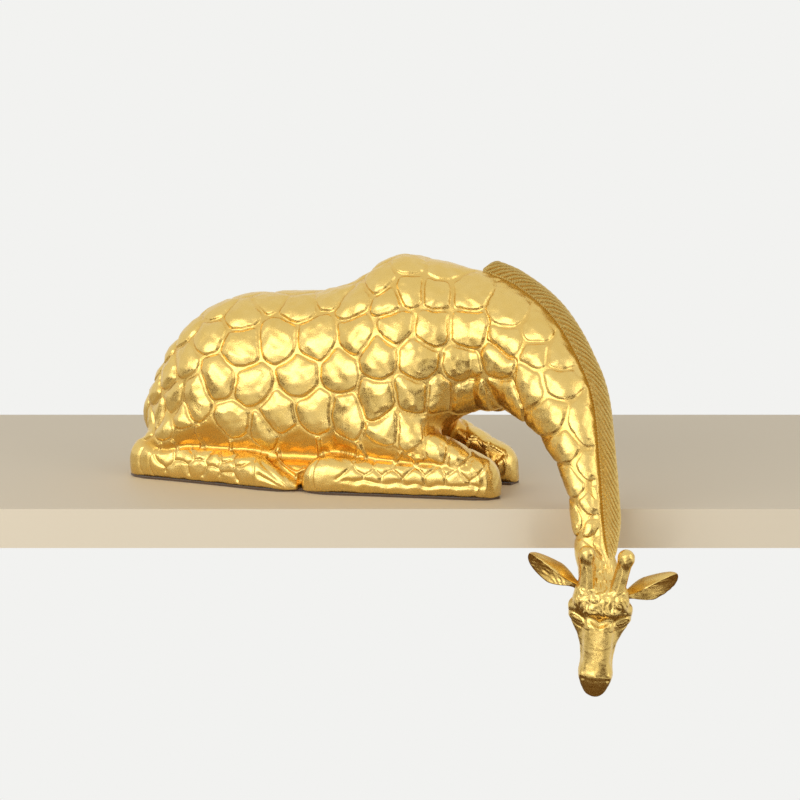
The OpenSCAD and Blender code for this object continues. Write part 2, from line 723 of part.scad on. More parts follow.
module tail() {
    girth = faired([for (g = tail_girth) [g]], 14);
    spots = faired(tail_spots, 14);
    centre = [for (k = [0:14]) let (r = girth[k][0] * lerp(tail_d, tuft_d, pow(k / 14, 4)) / 2)
        tail_spot(spots[k]) + (r + glue) * tail_out(spots[k])];
    color(gold) {
        skin([for (k = [0:14])
            let (
                forward = unit(centre[min(k + 1, 14)] - centre[max(k - 1, 0)]),
                out = unit(tail_out(spots[k]) - (tail_out(spots[k]) * forward) * forward),
                side = cross(out, forward),
                r = girth[k][0] * lerp(tail_d, tuft_d, pow(k / 14, 4)) / 2
            )
            [for (i = [0:11]) centre[k] + r * cos(30 * i) * side + r * sin(30 * i) * out]]);
        tail_tenon(0);
    }
}

module base_board() {
    color(beech) difference() {
        translate([board_rear + glue, -core_half_w + glue, felt_t])
            cube([board_front - board_rear - 2 * glue, 2 * (core_half_w - glue), board_t]);
        screw_places() screw_rod(fit);
    }
}

module base_screws() {
    color(steel) screw_places() screw_rod(0);
}

module neck_root_dowels() {
    color(beech) root_dowel_rods(0);
}

module neck_dowel() {
    color(beech) neck_dowel_rod(0);
}

module head_dowel() {
    color(beech) head_dowel_rod(0);
}

module leg_dowels() {
    color(beech) both_sides() {
        leg_dowel_rods(fore_dowel_x, 0);
        leg_dowel_rods(hind_dowel_x, 0);
    }
}

// Outer edge of the sole under a left leg
function sole_edge(way, shape) =
    [for (s = shape) lerp(way[0], way[1], s[0]) + [0, s[1] * cannon_half_w - felt_inset]];
module felt_sole() {
    inner_y = inner_leg_y + 4;
    left_edge = concat(
        [[board_rear + felt_inset, inner_y], [3 - hock_reach, inner_y]],
        sole_edge(hind_way, hind_shape),
        sole_edge(fore_way, fore_shape),
        [[knee_reach - 3, inner_y], [board_front - felt_inset, inner_y]]
    );
    last = len(left_edge) - 1;
    color(felt) linear_extrude(felt_t)
        polygon(concat(left_edge, [for (i = [last:-1:0]) [left_edge[i][0], -left_edge[i][1]]]));
}
torso();
neck_lower();
neck_upper();
mane();
head();
right_ear();
left_ear();
right_ossicone();
left_ossicone();
right_foreleg();
left_foreleg();
right_hindleg();
left_hindleg();
tail();
base_board();
base_screws();
neck_root_dowels();
neck_dowel();
head_dowel();
leg_dowels();
felt_sole();
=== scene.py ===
"""Looks of the gilded shelf giraffe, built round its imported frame.

The carved forms are lofts worked out from a few sections. They are melted into one
body in a block of voxels, the hide's plates are raised on its surface, and the body is
then parted along the joints of the frame, so that every block of wood is a piece.
Lengths are in millimetres until a mesh is made.
"""

import logging
import math
from dataclasses import dataclass, field
from enum import Enum

import bpy
import numpy as np
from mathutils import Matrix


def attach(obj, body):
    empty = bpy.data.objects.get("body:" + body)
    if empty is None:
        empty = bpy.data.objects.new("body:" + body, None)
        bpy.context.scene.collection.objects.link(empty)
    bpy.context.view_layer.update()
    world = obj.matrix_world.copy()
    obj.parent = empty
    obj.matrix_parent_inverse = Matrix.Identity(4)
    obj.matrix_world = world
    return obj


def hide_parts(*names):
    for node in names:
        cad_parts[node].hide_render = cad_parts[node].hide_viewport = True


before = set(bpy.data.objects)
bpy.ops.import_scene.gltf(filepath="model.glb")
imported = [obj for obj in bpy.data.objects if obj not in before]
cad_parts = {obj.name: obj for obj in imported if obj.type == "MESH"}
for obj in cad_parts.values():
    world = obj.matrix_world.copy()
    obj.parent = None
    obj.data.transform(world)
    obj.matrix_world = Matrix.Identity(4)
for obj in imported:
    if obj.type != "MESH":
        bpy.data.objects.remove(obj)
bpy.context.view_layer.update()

import openvdb as vdb

LOG = logging.getLogger("giraffe")
MM = 0.001
# Setting of the nodes that mix colours.
RGBA = {"data_type": "RGBA"}
# Thickness of the felt sole, height of the base board's top, and half the width of the core.
SOLE = 1.5
BOARD_TOP = 11.7
CORE = 28.0
# Cosine and sine of the eyes' slant.
SLANT = (math.cos(math.radians(27)), math.sin(math.radians(27)))
# Width of the strip that goes straight into the wood at a joint.
SKIRT = 5.0
# Middle of the joint between the trunk and the neck, and where the lower legs' top lies.
ROOT = (112.0, 0.0, 99.5)
LEG_TOP = 32.0


# ---------------------------------------------------------------- curves and meshes


def row_at(rows: list, place: np.ndarray) -> np.ndarray:
    """Runs a smooth curve through rows of numbers and reads it at some places.

    Between rows b and c with neighbours a and d, at share t, the value is half of
    2b + (c-a)t + (2a-5b+4c-d)t^2 + (3b-a-3c+d)t^3.

    Args:
        rows: One list of numbers for each station.
        place: Places along the rows, where a whole number is a row.

    Returns:
        An array with a row for each place.
    """
    table = np.asarray(rows, float)
    last = len(table) - 1
    first = np.clip(place.astype(int), 0, last - 1)
    t = (place - first)[:, None]
    a = table[np.maximum(first - 1, 0)]
    b = table[first]
    c = table[first + 1]
    d = table[np.minimum(first + 2, last)]
    return 0.5 * (2 * b + (c - a) * t + (2 * a - 5 * b + 4 * c - d) * t**2 + (3 * b - a - 3 * c + d) * t**3)


def faired(rows: list, count: int) -> np.ndarray:
    """Reads the curve through the rows at evenly spread places."""
    return row_at(rows, np.linspace(0, len(rows) - 1, count))


def squared(wave: np.ndarray, power: np.ndarray | float) -> np.ndarray:
    """Makes a sine or cosine squarer: its sign times its size to the power 2/power."""
    return np.sign(wave) * np.abs(wave) ** (2 / power)


def ramp(low: float, high: float, value: np.ndarray) -> np.ndarray:
    """Rises smoothly from 0 at low to 1 at high, as 3t^2 - 2t^3."""
    t = np.clip((value - low) / (high - low), 0, 1)
    return t * t * (3 - 2 * t)


def bell(offset: np.ndarray, width: float) -> np.ndarray:
    """Falls from 1 in the middle to nought on both sides, as exp(-(offset / width)^2)."""
    return np.exp(-((offset / width) ** 2))


def unit(vectors: np.ndarray) -> np.ndarray:
    """Divides each vector by its own length."""
    return vectors / np.maximum(np.linalg.norm(vectors, axis=-1, keepdims=True), 1e-9)


def spun(axis: int, degrees: float) -> np.ndarray:
    """Gives the matrix that turns points about an axis.

    Args:
        axis: 0 for x, 1 for y and 2 for z.
        degrees: The angle, by the right-hand rule.

    Returns:
        The matrix, for columns of coordinates.
    """
    cosine, sine = math.cos(math.radians(degrees)), math.sin(math.radians(degrees))
    i, j = (axis + 1) % 3, (axis + 2) % 3
    matrix = np.eye(3)
    matrix[i, i] = matrix[j, j] = cosine
    matrix[j, i], matrix[i, j] = sine, -sine
    return matrix


def murmur(points: np.ndarray, size: float, seed: int) -> np.ndarray:
    """Gives a smooth uneven value from -1 to 1 at each point.

    The value is the mean of eight sine waves with scattered directions and phases,
    whose lengths lie round the given size.

    Args:
        points: Places, in millimetres.
        size: Mean wave length, in millimetres.
        seed: Choice of the waves.

    Returns:
        One value for each point.
    """
    rng = np.random.default_rng(seed)
    ways = unit(rng.normal(size=(8, 3))) * (2 * np.pi / (size * rng.uniform(0.7, 1.5, (8, 1))))
    turns = rng.uniform(0, 2 * np.pi, 8)
    return np.sin(points @ ways.T + turns).sum(axis=1) / 4


@dataclass
class Skin:
    """A closed mesh: points, four-sided and three-sided faces."""

    points: np.ndarray
    quads: np.ndarray
    triangles: np.ndarray

    def faced_out(self) -> "Skin":
        """Turns the faces round if they enclose a negative volume.

        Returns:
            The mesh with its faces looking out.
        """
        p = self.points
        volume = 0.0
        for faces in (self.triangles, self.quads[:, [0, 1, 2]], self.quads[:, [0, 2, 3]]):
            a, b, c = (p[faces[:, i]] for i in range(3))
            volume += float((a * np.cross(b, c)).sum())
        if volume < 0:
            return Skin(p, self.quads[:, ::-1], self.triangles[:, ::-1])
        return self

    def joined(self, other: "Skin") -> "Skin":
        """Puts two meshes side by side in one.

        Args:
            other: The mesh to add.

        Returns:
            Both meshes as one.
        """
        n = len(self.points)
        return Skin(
            np.concatenate([self.points, other.points]),
            np.concatenate([self.quads, other.quads + n]),
            np.concatenate([self.triangles, other.triangles + n]),
        )

    def mirrored(self) -> "Skin":
        """Gives the same form on the other side of the middle plane."""
        return Skin(self.points * [1, -1, 1], self.quads[:, ::-1], self.triangles[:, ::-1])


def loft(rings: np.ndarray) -> Skin:
    """Closes a grid of points into a skin.

    The grid's first direction runs along the form and its second round it. The last
    point of a ring meets its first, and each end is a fan to the middle of its ring.

    Args:
        rings: Points, as stations by points round by three.

    Returns:
        The closed mesh, with its faces outwards.
    """
    m, n = rings.shape[:2]
    index = np.arange(m * n).reshape(m, n)
    turned = np.roll(index, -1, axis=1)
    quads = np.stack([index[:-1], turned[:-1], turned[1:], index[1:]], -1).reshape(-1, 4)
    points = np.concatenate([rings.reshape(-1, 3), rings[[0, -1]].mean(axis=1)])
    start = np.stack([turned[0], index[0], np.full(n, m * n)], -1)
    end = np.stack([index[-1], turned[-1], np.full(n, m * n + 1)], -1)
    return Skin(points, quads, np.concatenate([start, end])).faced_out()


def section_rings(centre: np.ndarray, side: np.ndarray | tuple, upper: np.ndarray | tuple,
                  wide: np.ndarray, high: np.ndarray, power: float, count: int) -> np.ndarray:
    """Places a rounded section at each station of a path.

    A ring's point at angle a is centre + wide * cos'(a) * side + high * sin'(a) * upper,
    where cos' and sin' are squared up by the power.

    Args:
        centre: Stations of the path.
        side: Unit vector across the section, one for all stations or one for each.
        upper: Unit vector up the section, likewise.
        wide: Half width at each station, or at each station and angle.
        high: Half height at each station, or at each station and angle.
        power: 2 for an ellipse, and more for a squarer section.
        count: Points round a ring.

    Returns:
        The grid of points.
    """
    a = np.linspace(0, 2 * np.pi, count, endpoint=False)[None, :]
    across = wide * squared(np.cos(a), power)
    up = high * squared(np.sin(a), power)
    side, upper = (np.broadcast_to(v, centre.shape)[:, None] for v in (side, upper))
    return centre[:, None] + across[..., None] * side + up[..., None] * upper


# ---------------------------------------------------------------- the block of voxels


class Block:
    """A block of voxels in which forms are held as distances from their skins."""

    def __init__(self, low: tuple, high: tuple, pitch: float, reach: float) -> None:
        """Sets the block out.

        Args:
            low: Lowest corner, in millimetres.
            high: Highest corner, in millimetres.
            pitch: Size of a voxel.
            reach: Distance from a skin up to which distances are kept.
        """
        self.pitch = pitch
        self.reach = reach
        self.start = np.floor(np.array(low) / pitch).astype(int)
        self.shape = tuple(np.ceil(np.array(high) / pitch).astype(int) - self.start)
        self.transform = vdb.createLinearTransform(voxelSize=pitch)

    def axes(self) -> tuple:
        """Gives the x, y and z of the voxels, each along its own axis of the block."""
        lines = [(self.start[i] + np.arange(self.shape[i])) * self.pitch for i in range(3)]
        return np.ix_(*(line.astype(np.float32) for line in lines))

    def solid(self, skin: Skin) -> np.ndarray:
        """Measures the distance of each voxel from a skin, negative inside it.

        Args:
            skin: A closed mesh.

        Returns:
            The distance at each voxel, as far as the block's reach.
        """
        grid = vdb.FloatGrid.createLevelSetFromPolygons(
            skin.points.astype(np.float32),
            triangles=skin.triangles.astype(np.uint32),
            quads=skin.quads.astype(np.uint32),
            transform=self.transform,
            halfWidth=self.reach / self.pitch,
        )
        out = np.empty(self.shape, np.float32)
        grid.copyToArray(out, ijk=tuple(int(i) for i in self.start))
        return out

    def surface(self, distance: np.ndarray) -> Skin:
        """Draws the skin where the distance is nought.

        Args:
            distance: The distance at each voxel.

        Returns:
            A mesh of four-sided faces.
        """
        grid = vdb.FloatGrid(self.reach)
        grid.copyFromArray(distance, ijk=tuple(int(i) for i in self.start), tolerance=0)
        grid.transform = self.transform
        points, quads = grid.convertToQuads()
        empty = np.zeros((0, 3), int)
        return Skin(points.astype(float), quads.astype(int), empty).faced_out()

    def sample(self, values: np.ndarray, points: np.ndarray) -> np.ndarray:
        """Reads a value of the block at any point, as the mean of the eight voxels round it.

        Args:
            values: The value at each voxel.
            points: Places, in millimetres.

        Returns:
            One value for each point.
        """
        place = np.clip(points / self.pitch - self.start, 0, np.array(self.shape) - 1.001)
        low = place.astype(int)
        share = place - low
        total = np.zeros(len(points))
        for corner in range(8):
            step = np.array([corner & 1, corner >> 1 & 1, corner >> 2])
            at = low + step
            weight = np.where(step, share, 1 - share).prod(axis=1)
            total += weight * values[at[:, 0], at[:, 1], at[:, 2]]
        return total


def melted(a: np.ndarray, b: np.ndarray, width: float) -> np.ndarray:
    """Joins two forms with a soft valley of the given width between them.

    The distance is the smaller of the two, less h^2 * width / 4, where h falls from 1
    to 0 as the two distances part by the width.
    """
    h = np.maximum(width - np.abs(a - b), 0) / width
    return np.minimum(a, b) - h * h * (width / 4)


# ---------------------------------------------------------------- sections of the giraffe


@dataclass
class Spine:
    """The trunk and the neck as one loft from the rump to the poll."""

    trunk: list = field(default_factory=lambda: [
        # x, lowest z, highest z, half width, z of the widest line
        [-141, 37, 48, 5, 42], [-138, 28, 55, 13, 42], [-132, 19, 67, 21, 43], [-123, 11, 80, 29, 45],
        [-111, 4, 98, 36, 47], [-95, 4, 114, 42, 50], [-79, 4, 124, 45.5, 52], [-59, 4, 130, 47, 55],
        [-35, 4, 132, 46, 58], [-5, 4, 133, 45, 61], [10, 4, 136, 44, 62], [25, 4, 141, 44, 64],
        [40, 4, 151.5, 44.5, 67], [56, 4, 158, 45, 70], [72, 10, 156, 44, 74], [85, 30, 153, 42, 80],
        [97, 45, 150, 38.5, 90], [112, 52.5, 146.5, 34, 99.5]])
    neck: list = field(default_factory=lambda: [
        # x, y, z, half depth, half width, lean of the upper side in degrees
        [112, 0, 99.5, 47, 34, 0], [127, -6, 95.5, 44, 31.3, 6], [146, -16, 87, 37, 27, 13],
        [163, -28, 72, 29.8, 23.2, 26], [175, -37, 57, 23.5, 19.6, 38], [187.5, -49, 29, 15, 15, 57],
        [192.5, -56, 11, 12.5, 13.1, 74], [196, -62, -8, 11.5, 11.9, 86],
        [199, -66.5, -22, 11.75, 12, 90], [204.5, -71, -36, 12.5, 12.5, 90]])
    # The haunch's and the shoulder's x, z, length, height and how far they stand out.
    swells: tuple = ((-70, 78, 34, 34, 4.0), (58, 84, 26, 40, 5.0))
    round_count: int = 200

    def neck_frame(self, count: int) -> tuple:
        """Works out the neck's own directions.

        Forward is the path's direction, eased into the joint planes over a fifth of
        the length. Upper is the leaned vertical made square to it, and side completes
        the three.

        Args:
            count: Stations along the neck.

        Returns:
            Centre, forward, upper, side, half depth and half width at each station.
        """
        line = faired(self.neck, count)
        centre = line[:, :3]
        along = np.linspace(0, 1, count)
        end = np.where(along[:, None] < 0.5, [1.0, 0, 0], -HeadPlace().turned()[:, 2])
        ease = np.minimum(1, np.minimum(along, 1 - along) / 0.2)[:, None]
        forward = unit(end + (unit(np.gradient(centre, axis=0)) - end) * ease)
        lean = np.radians(line[:, 5])
        tilt = np.stack([np.sin(lean), -0.5 * np.sin(lean) ** 3, np.cos(lean)], -1)
        upper = unit(tilt - (tilt * forward).sum(-1, keepdims=True) * forward)
        return centre, forward, upper, np.cross(upper, forward), line[:, 3], line[:, 4]

    def on_trunk(self, rows: np.ndarray, a: np.ndarray) -> np.ndarray:
        """Gives points of the trunk.

        A section is a squared oval about its widest line, with the haunch and the
        shoulder swelling out of its side as bell curves. It rounds into the neck's
        ellipse.

        Args:
            rows: Sections of the trunk.
            a: Angles about the sections, one row for all or one for each section.

        Returns:
            The points.
        """
        x, low, high, wide, mid = (rows[:, i : i + 1] for i in range(5))
        rounder = ramp(60, 112, x)
        reach = np.where(np.sin(a) > 0, high - mid, mid - low)
        z = mid + reach * squared(np.sin(a), 2.3 - 0.3 * rounder)
        swell = sum(out * bell(x - at, long) * bell(z - up, tall) for at, up, long, tall, out in self.swells)
        y = (wide + swell * np.minimum(1, wide / 47)) * squared(np.cos(a), 2.5 - 0.5 * rounder)
        return np.stack([np.broadcast_to(x, y.shape), y, z], -1)

    def rings(self) -> np.ndarray:
        """Gives the rings of the trunk, and then of the neck.

        Returns:
            The grid of points.
        """
        a = np.linspace(0, 2 * np.pi, self.round_count, endpoint=False)[None, :]
        trunk = self.on_trunk(faired(self.trunk, 150)[:-1], a)
        centre, _, upper, side, deep, half = self.neck_frame(160)
        neck = section_rings(centre, side, upper, half[:, None], deep[:, None], 2.0, self.round_count)
        return np.concatenate([trunk, neck])

    def mane_line(self, count: int, share: float) -> tuple:
        """Gives the line along the neck's upper side where the mane stands.

        Args:
            count: Stations along the line.
            share: Share of the neck's length at which it ends.

        Returns:
            The foot, and the upper and side directions at each station.
        """
        keep = np.linspace(0, 399 * share, count).astype(int)
        centre, _, upper, side, deep, _ = (f[keep] for f in self.neck_frame(400))
        return centre + upper * deep[:, None], upper, side

    def scarf(self) -> tuple:
        """Gives the middle of the scarf joint, half way along the neck, and the way forward there."""
        return tuple(f[200] for f in self.neck_frame(401)[:2])


@dataclass
class HeadPlace:
    """Where the head hangs: its joint with the neck, and how it is rolled and turned."""

    joint: tuple = (204.5, -71.0, -36.0)
    roll: float = 3.0
    turn: float = 8.0

    def turned(self) -> np.ndarray:
        """Gives the matrix whose columns are the head's own directions."""
        return spun(2, self.turn) @ spun(1, self.roll)

    def to_world(self, points: np.ndarray) -> np.ndarray:
        """Moves points of the head's frame into the giraffe's."""
        return points @ self.turned().T + np.array(self.joint)

    def to_local(self, points: np.ndarray) -> np.ndarray:
        """Moves points of the giraffe's frame into the head's."""
        return (points - np.array(self.joint)) @ self.turned()


@dataclass
class Legs:
    """The folded legs of the left side. The right side mirrors them."""

    fore_way: tuple = ((-0.5, 44.0), (131.0, 26.5))
    hind_way: tuple = ((-140.0, 26.5), (-2.5, 44.0))
    half_width: float = 12.0
    height: float = 25.0
    fore_shape: list = field(default_factory=lambda: [
        # share of the way, half width, height
        [0, 0.12, 0.2], [0.008, 0.4, 0.46], [0.03, 0.72, 0.72], [0.07, 0.94, 0.92], [0.13, 1.03, 1],
        [0.2, 1.02, 1], [0.35, 0.96, 0.95], [0.6, 0.98, 0.97], [0.76, 1.02, 1.03], [0.86, 1.02, 1.08],
        [0.93, 0.94, 1.03], [0.97, 0.76, 0.88], [0.993, 0.45, 0.62], [1, 0.12, 0.3]])
    hind_shape: list = field(default_factory=lambda: [
        [0, 0.12, 0.3], [0.007, 0.42, 0.66], [0.03, 0.74, 0.95], [0.07, 0.94, 1.08], [0.14, 1.04, 1.1],
        [0.25, 0.99, 1.03], [0.45, 0.95, 1.0], [0.62, 0.97, 0.95], [0.72, 1.03, 0.93], [0.8, 1.04, 0.84],
        [0.88, 0.96, 0.64], [0.95, 0.78, 0.42], [0.99, 0.5, 0.27], [1, 0.15, 0.18]])
    forearm: list = field(default_factory=lambda: [
        # x, y, half width, lowest z, highest z
        [22, 33, 9, 30, 48], [34, 34, 13, 24, 57], [52, 34, 14, 20, 60], [74, 32, 14.5, 18, 52],
        [94, 29.5, 13.5, 16, 41], [112, 27.5, 12, 12, 31], [124, 26.5, 8, 10, 25]])
    gaskin: list = field(default_factory=lambda: [
        [-136, 26.5, 6, 8, 22], [-126, 27, 10, 8, 31], [-108, 30, 12.5, 14, 44],
        [-88, 33, 14, 26, 55], [-68, 35, 13.5, 34, 60], [-54, 35, 9, 42, 56]])

    def lower(self, way: tuple, shape: list) -> Skin:
        """Lofts a lower leg as squared sections that stand upright.

        Args:
            way: The two places on the ground between which it lies.
            shape: Its sections.

        Returns:
            The skin.
        """
        rows = faired(shape, 170)
        ends = np.array(way)
        ground = ends[0] + rows[:, :1] * (ends[1] - ends[0])
        top = rows[:, 2:] * self.height
        centre = np.column_stack([ground, top / 2 - 1])
        wide = rows[:, 1:2] * self.half_width
        return loft(section_rings(centre, (0, 1, 0), (0, 0, 1), wide, top / 2 + 1, 2.35, 96))

    def upper(self, rows: list) -> Skin:
        """Lofts a forearm or a gaskin from its sections."""
        x, y, wide, low, high = faired(rows, 90).T[..., None]
        centre = np.column_stack([x, y, (low + high) / 2])
        return loft(section_rings(centre, (0, 1, 0), (0, 0, 1), wide, (high - low) / 2, 2.4, 80))

    def both(self, skin: Skin) -> Skin:
        """Adds the right side's twin."""
        return skin.joined(skin.mirrored())


# ---------------------------------------------------------------- the plates of the hide


class Plate(Enum):
    """Kinds of place on the hide."""

    FULL = 1.0
    SMALL = 0.75
    SLIM = 0.6
    PLAIN = 0.0


@dataclass
class Hide:
    """The domed plates of the giraffe's coat and the flat channels between them."""

    flank: list = field(default_factory=lambda: [
        (-74, -39, 103), (-91, -41, 85), (-107, -35, 74), (-101, -41, 59), (-117, -33, 47), (-91, -44, 48),
        (-50, -47, 43), (-30, -44, 37), (-20, -41, 99), (-46, -44, 93), (-59, -50, 73), (-80, -48, 57),
        (-37, -47, 69), (-19, -45, 48), (-4, -44, 76), (7, -40, 101), (8, -44, 51),
        (25, -44, 80), (31, -44, 49), (35, -42, 106), (53, -48, 90), (53, -48, 61), (64, -43, 114),
        (89, -39, 111), (110, -34, 110), (81, -44, 89), (107, -35, 86), (130, -39, 89), (78, -45, 66),
        (93, -38, 66), (112, -27, 68), (134, -37, 70), (71, -34, 135), (88, -31, 134), (108, -27, 134),
        (-107, -40, 41), (-127, -26, 36), (-122, -26, 62), (-128, -17, 78), (-118, -22, 92)])
    spine: list = field(default_factory=lambda: [
        (-50, -30, 118), (-98, -26, 105), (-72, -22, 122), (-34, -20, 128), (-10, -27, 125), (11, -21, 132),
        (31, -32, 127), (48, -28, 142), (57, -37, 128), (66, -18, 153), (88, -14, 151),
        (-137, -10, 45), (-134, 0, 63), (-126, 0, 76), (-108, 0, 102), (-86, 0, 120),
        (-58, 0, 130), (-22, 0, 132), (24, 0, 141), (44, 0, 153)])
    neck: list = field(default_factory=lambda: [
        (137, -38, 106), (158, -43, 98), (154, -49, 76), (172, -50, 81), (136, -32, 122), (155, -37, 112),
        (179, -60, 42), (190, -56, 53), (193, -63, 31), (185, -65, 22), (195, -69, 11), (195, -73, -3),
        (169, -42, 97), (167, -54, 60), (196, -76, -16), (187, -71, 0), (202, -74, -10), (203, -66, 20)])
    limbs: list = field(default_factory=lambda: [
        (58, -47, 45), (75, -45, 44), (94, -42, 34), (104, -40, 31), (122, -36, 20)])
    plain: list = field(default_factory=lambda: [
        (-76, -46, 12), (-100, -40, 12), (-50, -50, 12), (-25, -50, 10), (15, -50, 12), (40, -50, 12),
        (65, -46, 12), (90, -42, 12), (112, -38, 12), (-8, -38, 27), (-88, -38, 30), (-66, -40, 30),
        (-45, -38, 24),
        (25, -38, 26), (55, -40, 28), (82, -34, 34), (-122, -38, 14), (131, -28, 8)])
    lean: float = 0.45
    drop: float = 5.5
    channel: float = 0.75
    depth: float = 2.9
    dome: float = 2.0
    lip: float = 0.25
    round_off: float = 1.0
    hollow: float = 2.6

    def seeds(self) -> tuple:
        """Lists the middles of the plates and of the plain places, and the kind of each.

        Returns:
            The middles, and the number of each one's kind.
        """
        groups = [self.flank, self.spine, self.neck, self.limbs, self.plain]
        kinds = [Plate.FULL, Plate.FULL, Plate.SLIM, Plate.SMALL, Plate.PLAIN]
        kind = np.concatenate([np.full(len(g), k.value) for g, k in zip(groups, kinds)])
        return np.concatenate([np.array(g, float) for g in groups]), kind

    def near_side(self, points: np.ndarray, spine: Spine) -> np.ndarray:
        """Mirrors points of the left side to the right one.

        The mirror is the middle plane on the trunk. On the neck it stands on the line of
        the neck's centres, at the nearest station.

        Args:
            points: Places, in millimetres.
            spine: The trunk and the neck.

        Returns:
            The places on the right side.
        """
        centre, _, _, side, _, _ = spine.neck_frame(90)
        nearest = (points @ centre.T - (centre**2).sum(axis=1) / 2).argmax(axis=1)
        neck = points[:, :1] > ROOT[0]
        middle = np.where(neck, centre[nearest], points * [1, 0, 1])
        across = np.where(neck, side[nearest], [0.0, 1, 0])
        return points - 2 * np.maximum(((points - middle) * across).sum(-1, keepdims=True), 0) * across

    def beside_mane(self, points: np.ndarray, spine: Spine) -> np.ndarray:
        """Fades the plates out beside the mane, from 9 mm to 5 mm from the line of its foot.

        Args:
            points: Points of the surface.
            spine: The giraffe's spine.

        Returns:
            From 0 by the mane to 1 away from it.
        """
        line = spine.mane_line(60, 0.915)[0]
        nearest = np.full(len(points), 1e9)
        for spot in line:
            nearest = np.minimum(nearest, ((points - spot) ** 2).sum(axis=1))
        return ramp(5.0, 9.0, np.sqrt(nearest))

    def flow(self, points: np.ndarray) -> np.ndarray:
        """Gives the way the plates hang, down and along the neck, as a value that grows downwards."""
        return 0.35 * np.maximum(points[..., 0] - 100, 0) - points[..., 2]

    def relief(self, points: np.ndarray, normals: np.ndarray, strength: np.ndarray, spine: Spine) -> tuple:
        """Works out how far the surface stands out at each point.

        A point belongs to the seed with the least F = distance - lean * flow(seed), so
        that a plate's lower edge hangs in a bow. The distance from another plate is
        e = (F2 - F1) / |u2 - u1|, with u the directions from the two seeds, and the three
        nearest are joined as -k log(sum of exp(-e/k)), which rounds the corners. The
        channel is flat up to its half width and its wall is steep. The plate falls from
        its crown as dome * (1 - e/10)^2. Its lower edge stands a little proud. A plain
        place is a hollow, with a thin fin where it meets another.

        Args:
            points: Points of the surface.
            normals: Their outward directions.
            strength: Share of the full height at each point.
            spine: The trunk and the neck.

        Returns:
            Height in millimetres, and the share of painted warm shade at the point, from 0 to 1.
        """
        seeds, kind = self.seeds()
        hang = self.flow(seeds)
        warp = np.stack([murmur(points, *wave) for wave in ((17, 11), (15, 12), (16, 13))], -1)
        fine = np.stack([murmur(points, 5, seed) for seed in (14, 15, 16)], -1)
        ahead = 0.35 * ramp(90, 120, points[:, 0])
        fall = np.stack([-ahead, 0 * ahead, 1 + 0 * ahead], -1) * self.drop
        placed = self.near_side(points, spine) + fall + 0.8 * warp + 0.22 * fine
        height = np.zeros(len(points))
        warm_shade = np.zeros(len(points))
        crown = ramp(0.55, 0.95, normals[:, 2])
        for first in range(0, len(points), 20000):
            part = slice(first, first + 20000)
            ways = placed[part][:, None] - seeds[None]
            away = np.linalg.norm(ways, axis=-1)
            rank = away - self.lean * hang
            near = np.argpartition(rank, 3, axis=1)[:, :4]
            rows = np.arange(len(near))[:, None]
            near = near[rows, np.argsort(rank[rows, near], axis=1)]
            f = rank[rows, near]
            u = ways[rows, near] / away[rows, near][..., None]
            gap = np.linalg.norm(u[:, 1:] - u[:, :1], axis=-1) + 0.05
            edge = (f[:, 1:] - f[:, :1]) / gap
            e = -self.round_off * np.log(np.exp(-edge / self.round_off).sum(axis=1))
            own = kind[near[:, 0]]
            other = kind[near[rows[:, 0], edge.argmin(axis=1) + 1]]
            low = (self.drop - ways[rows[:, 0], near[:, 0], 2]) / 11
            soft = 1 - 0.55 * crown[part]
            half = self.channel * soft
            wall = ramp(0, 1, (e - half) / 1.1)
            inside = np.maximum(e - half, 0)
            rim = np.exp(-inside / 3.0)
            plate = -self.dome * (1 - np.clip(inside / 10, 0, 1)) ** 2
            plate += self.lip * rim * np.clip(1.4 * low, -1, 1)
            raised = wall * plate - (1 - wall) * self.depth
            fin = 1.5 * (1 - ramp(0, 1, e / 1.4)) * (other == 0)
            height[part] = np.where(own > 0, own * soft * raised, fin - self.hollow)
            # Painted warm shade: some in the channels, less where the surface faces up, and full in the plain
            # hollows.
            warm_shade[part] = np.where(own > 0, 0.3 * (1 - wall) * soft, 1.0 - 0.5 * (1 - ramp(0, 1, e / 3)))
        return height * strength, warm_shade * strength


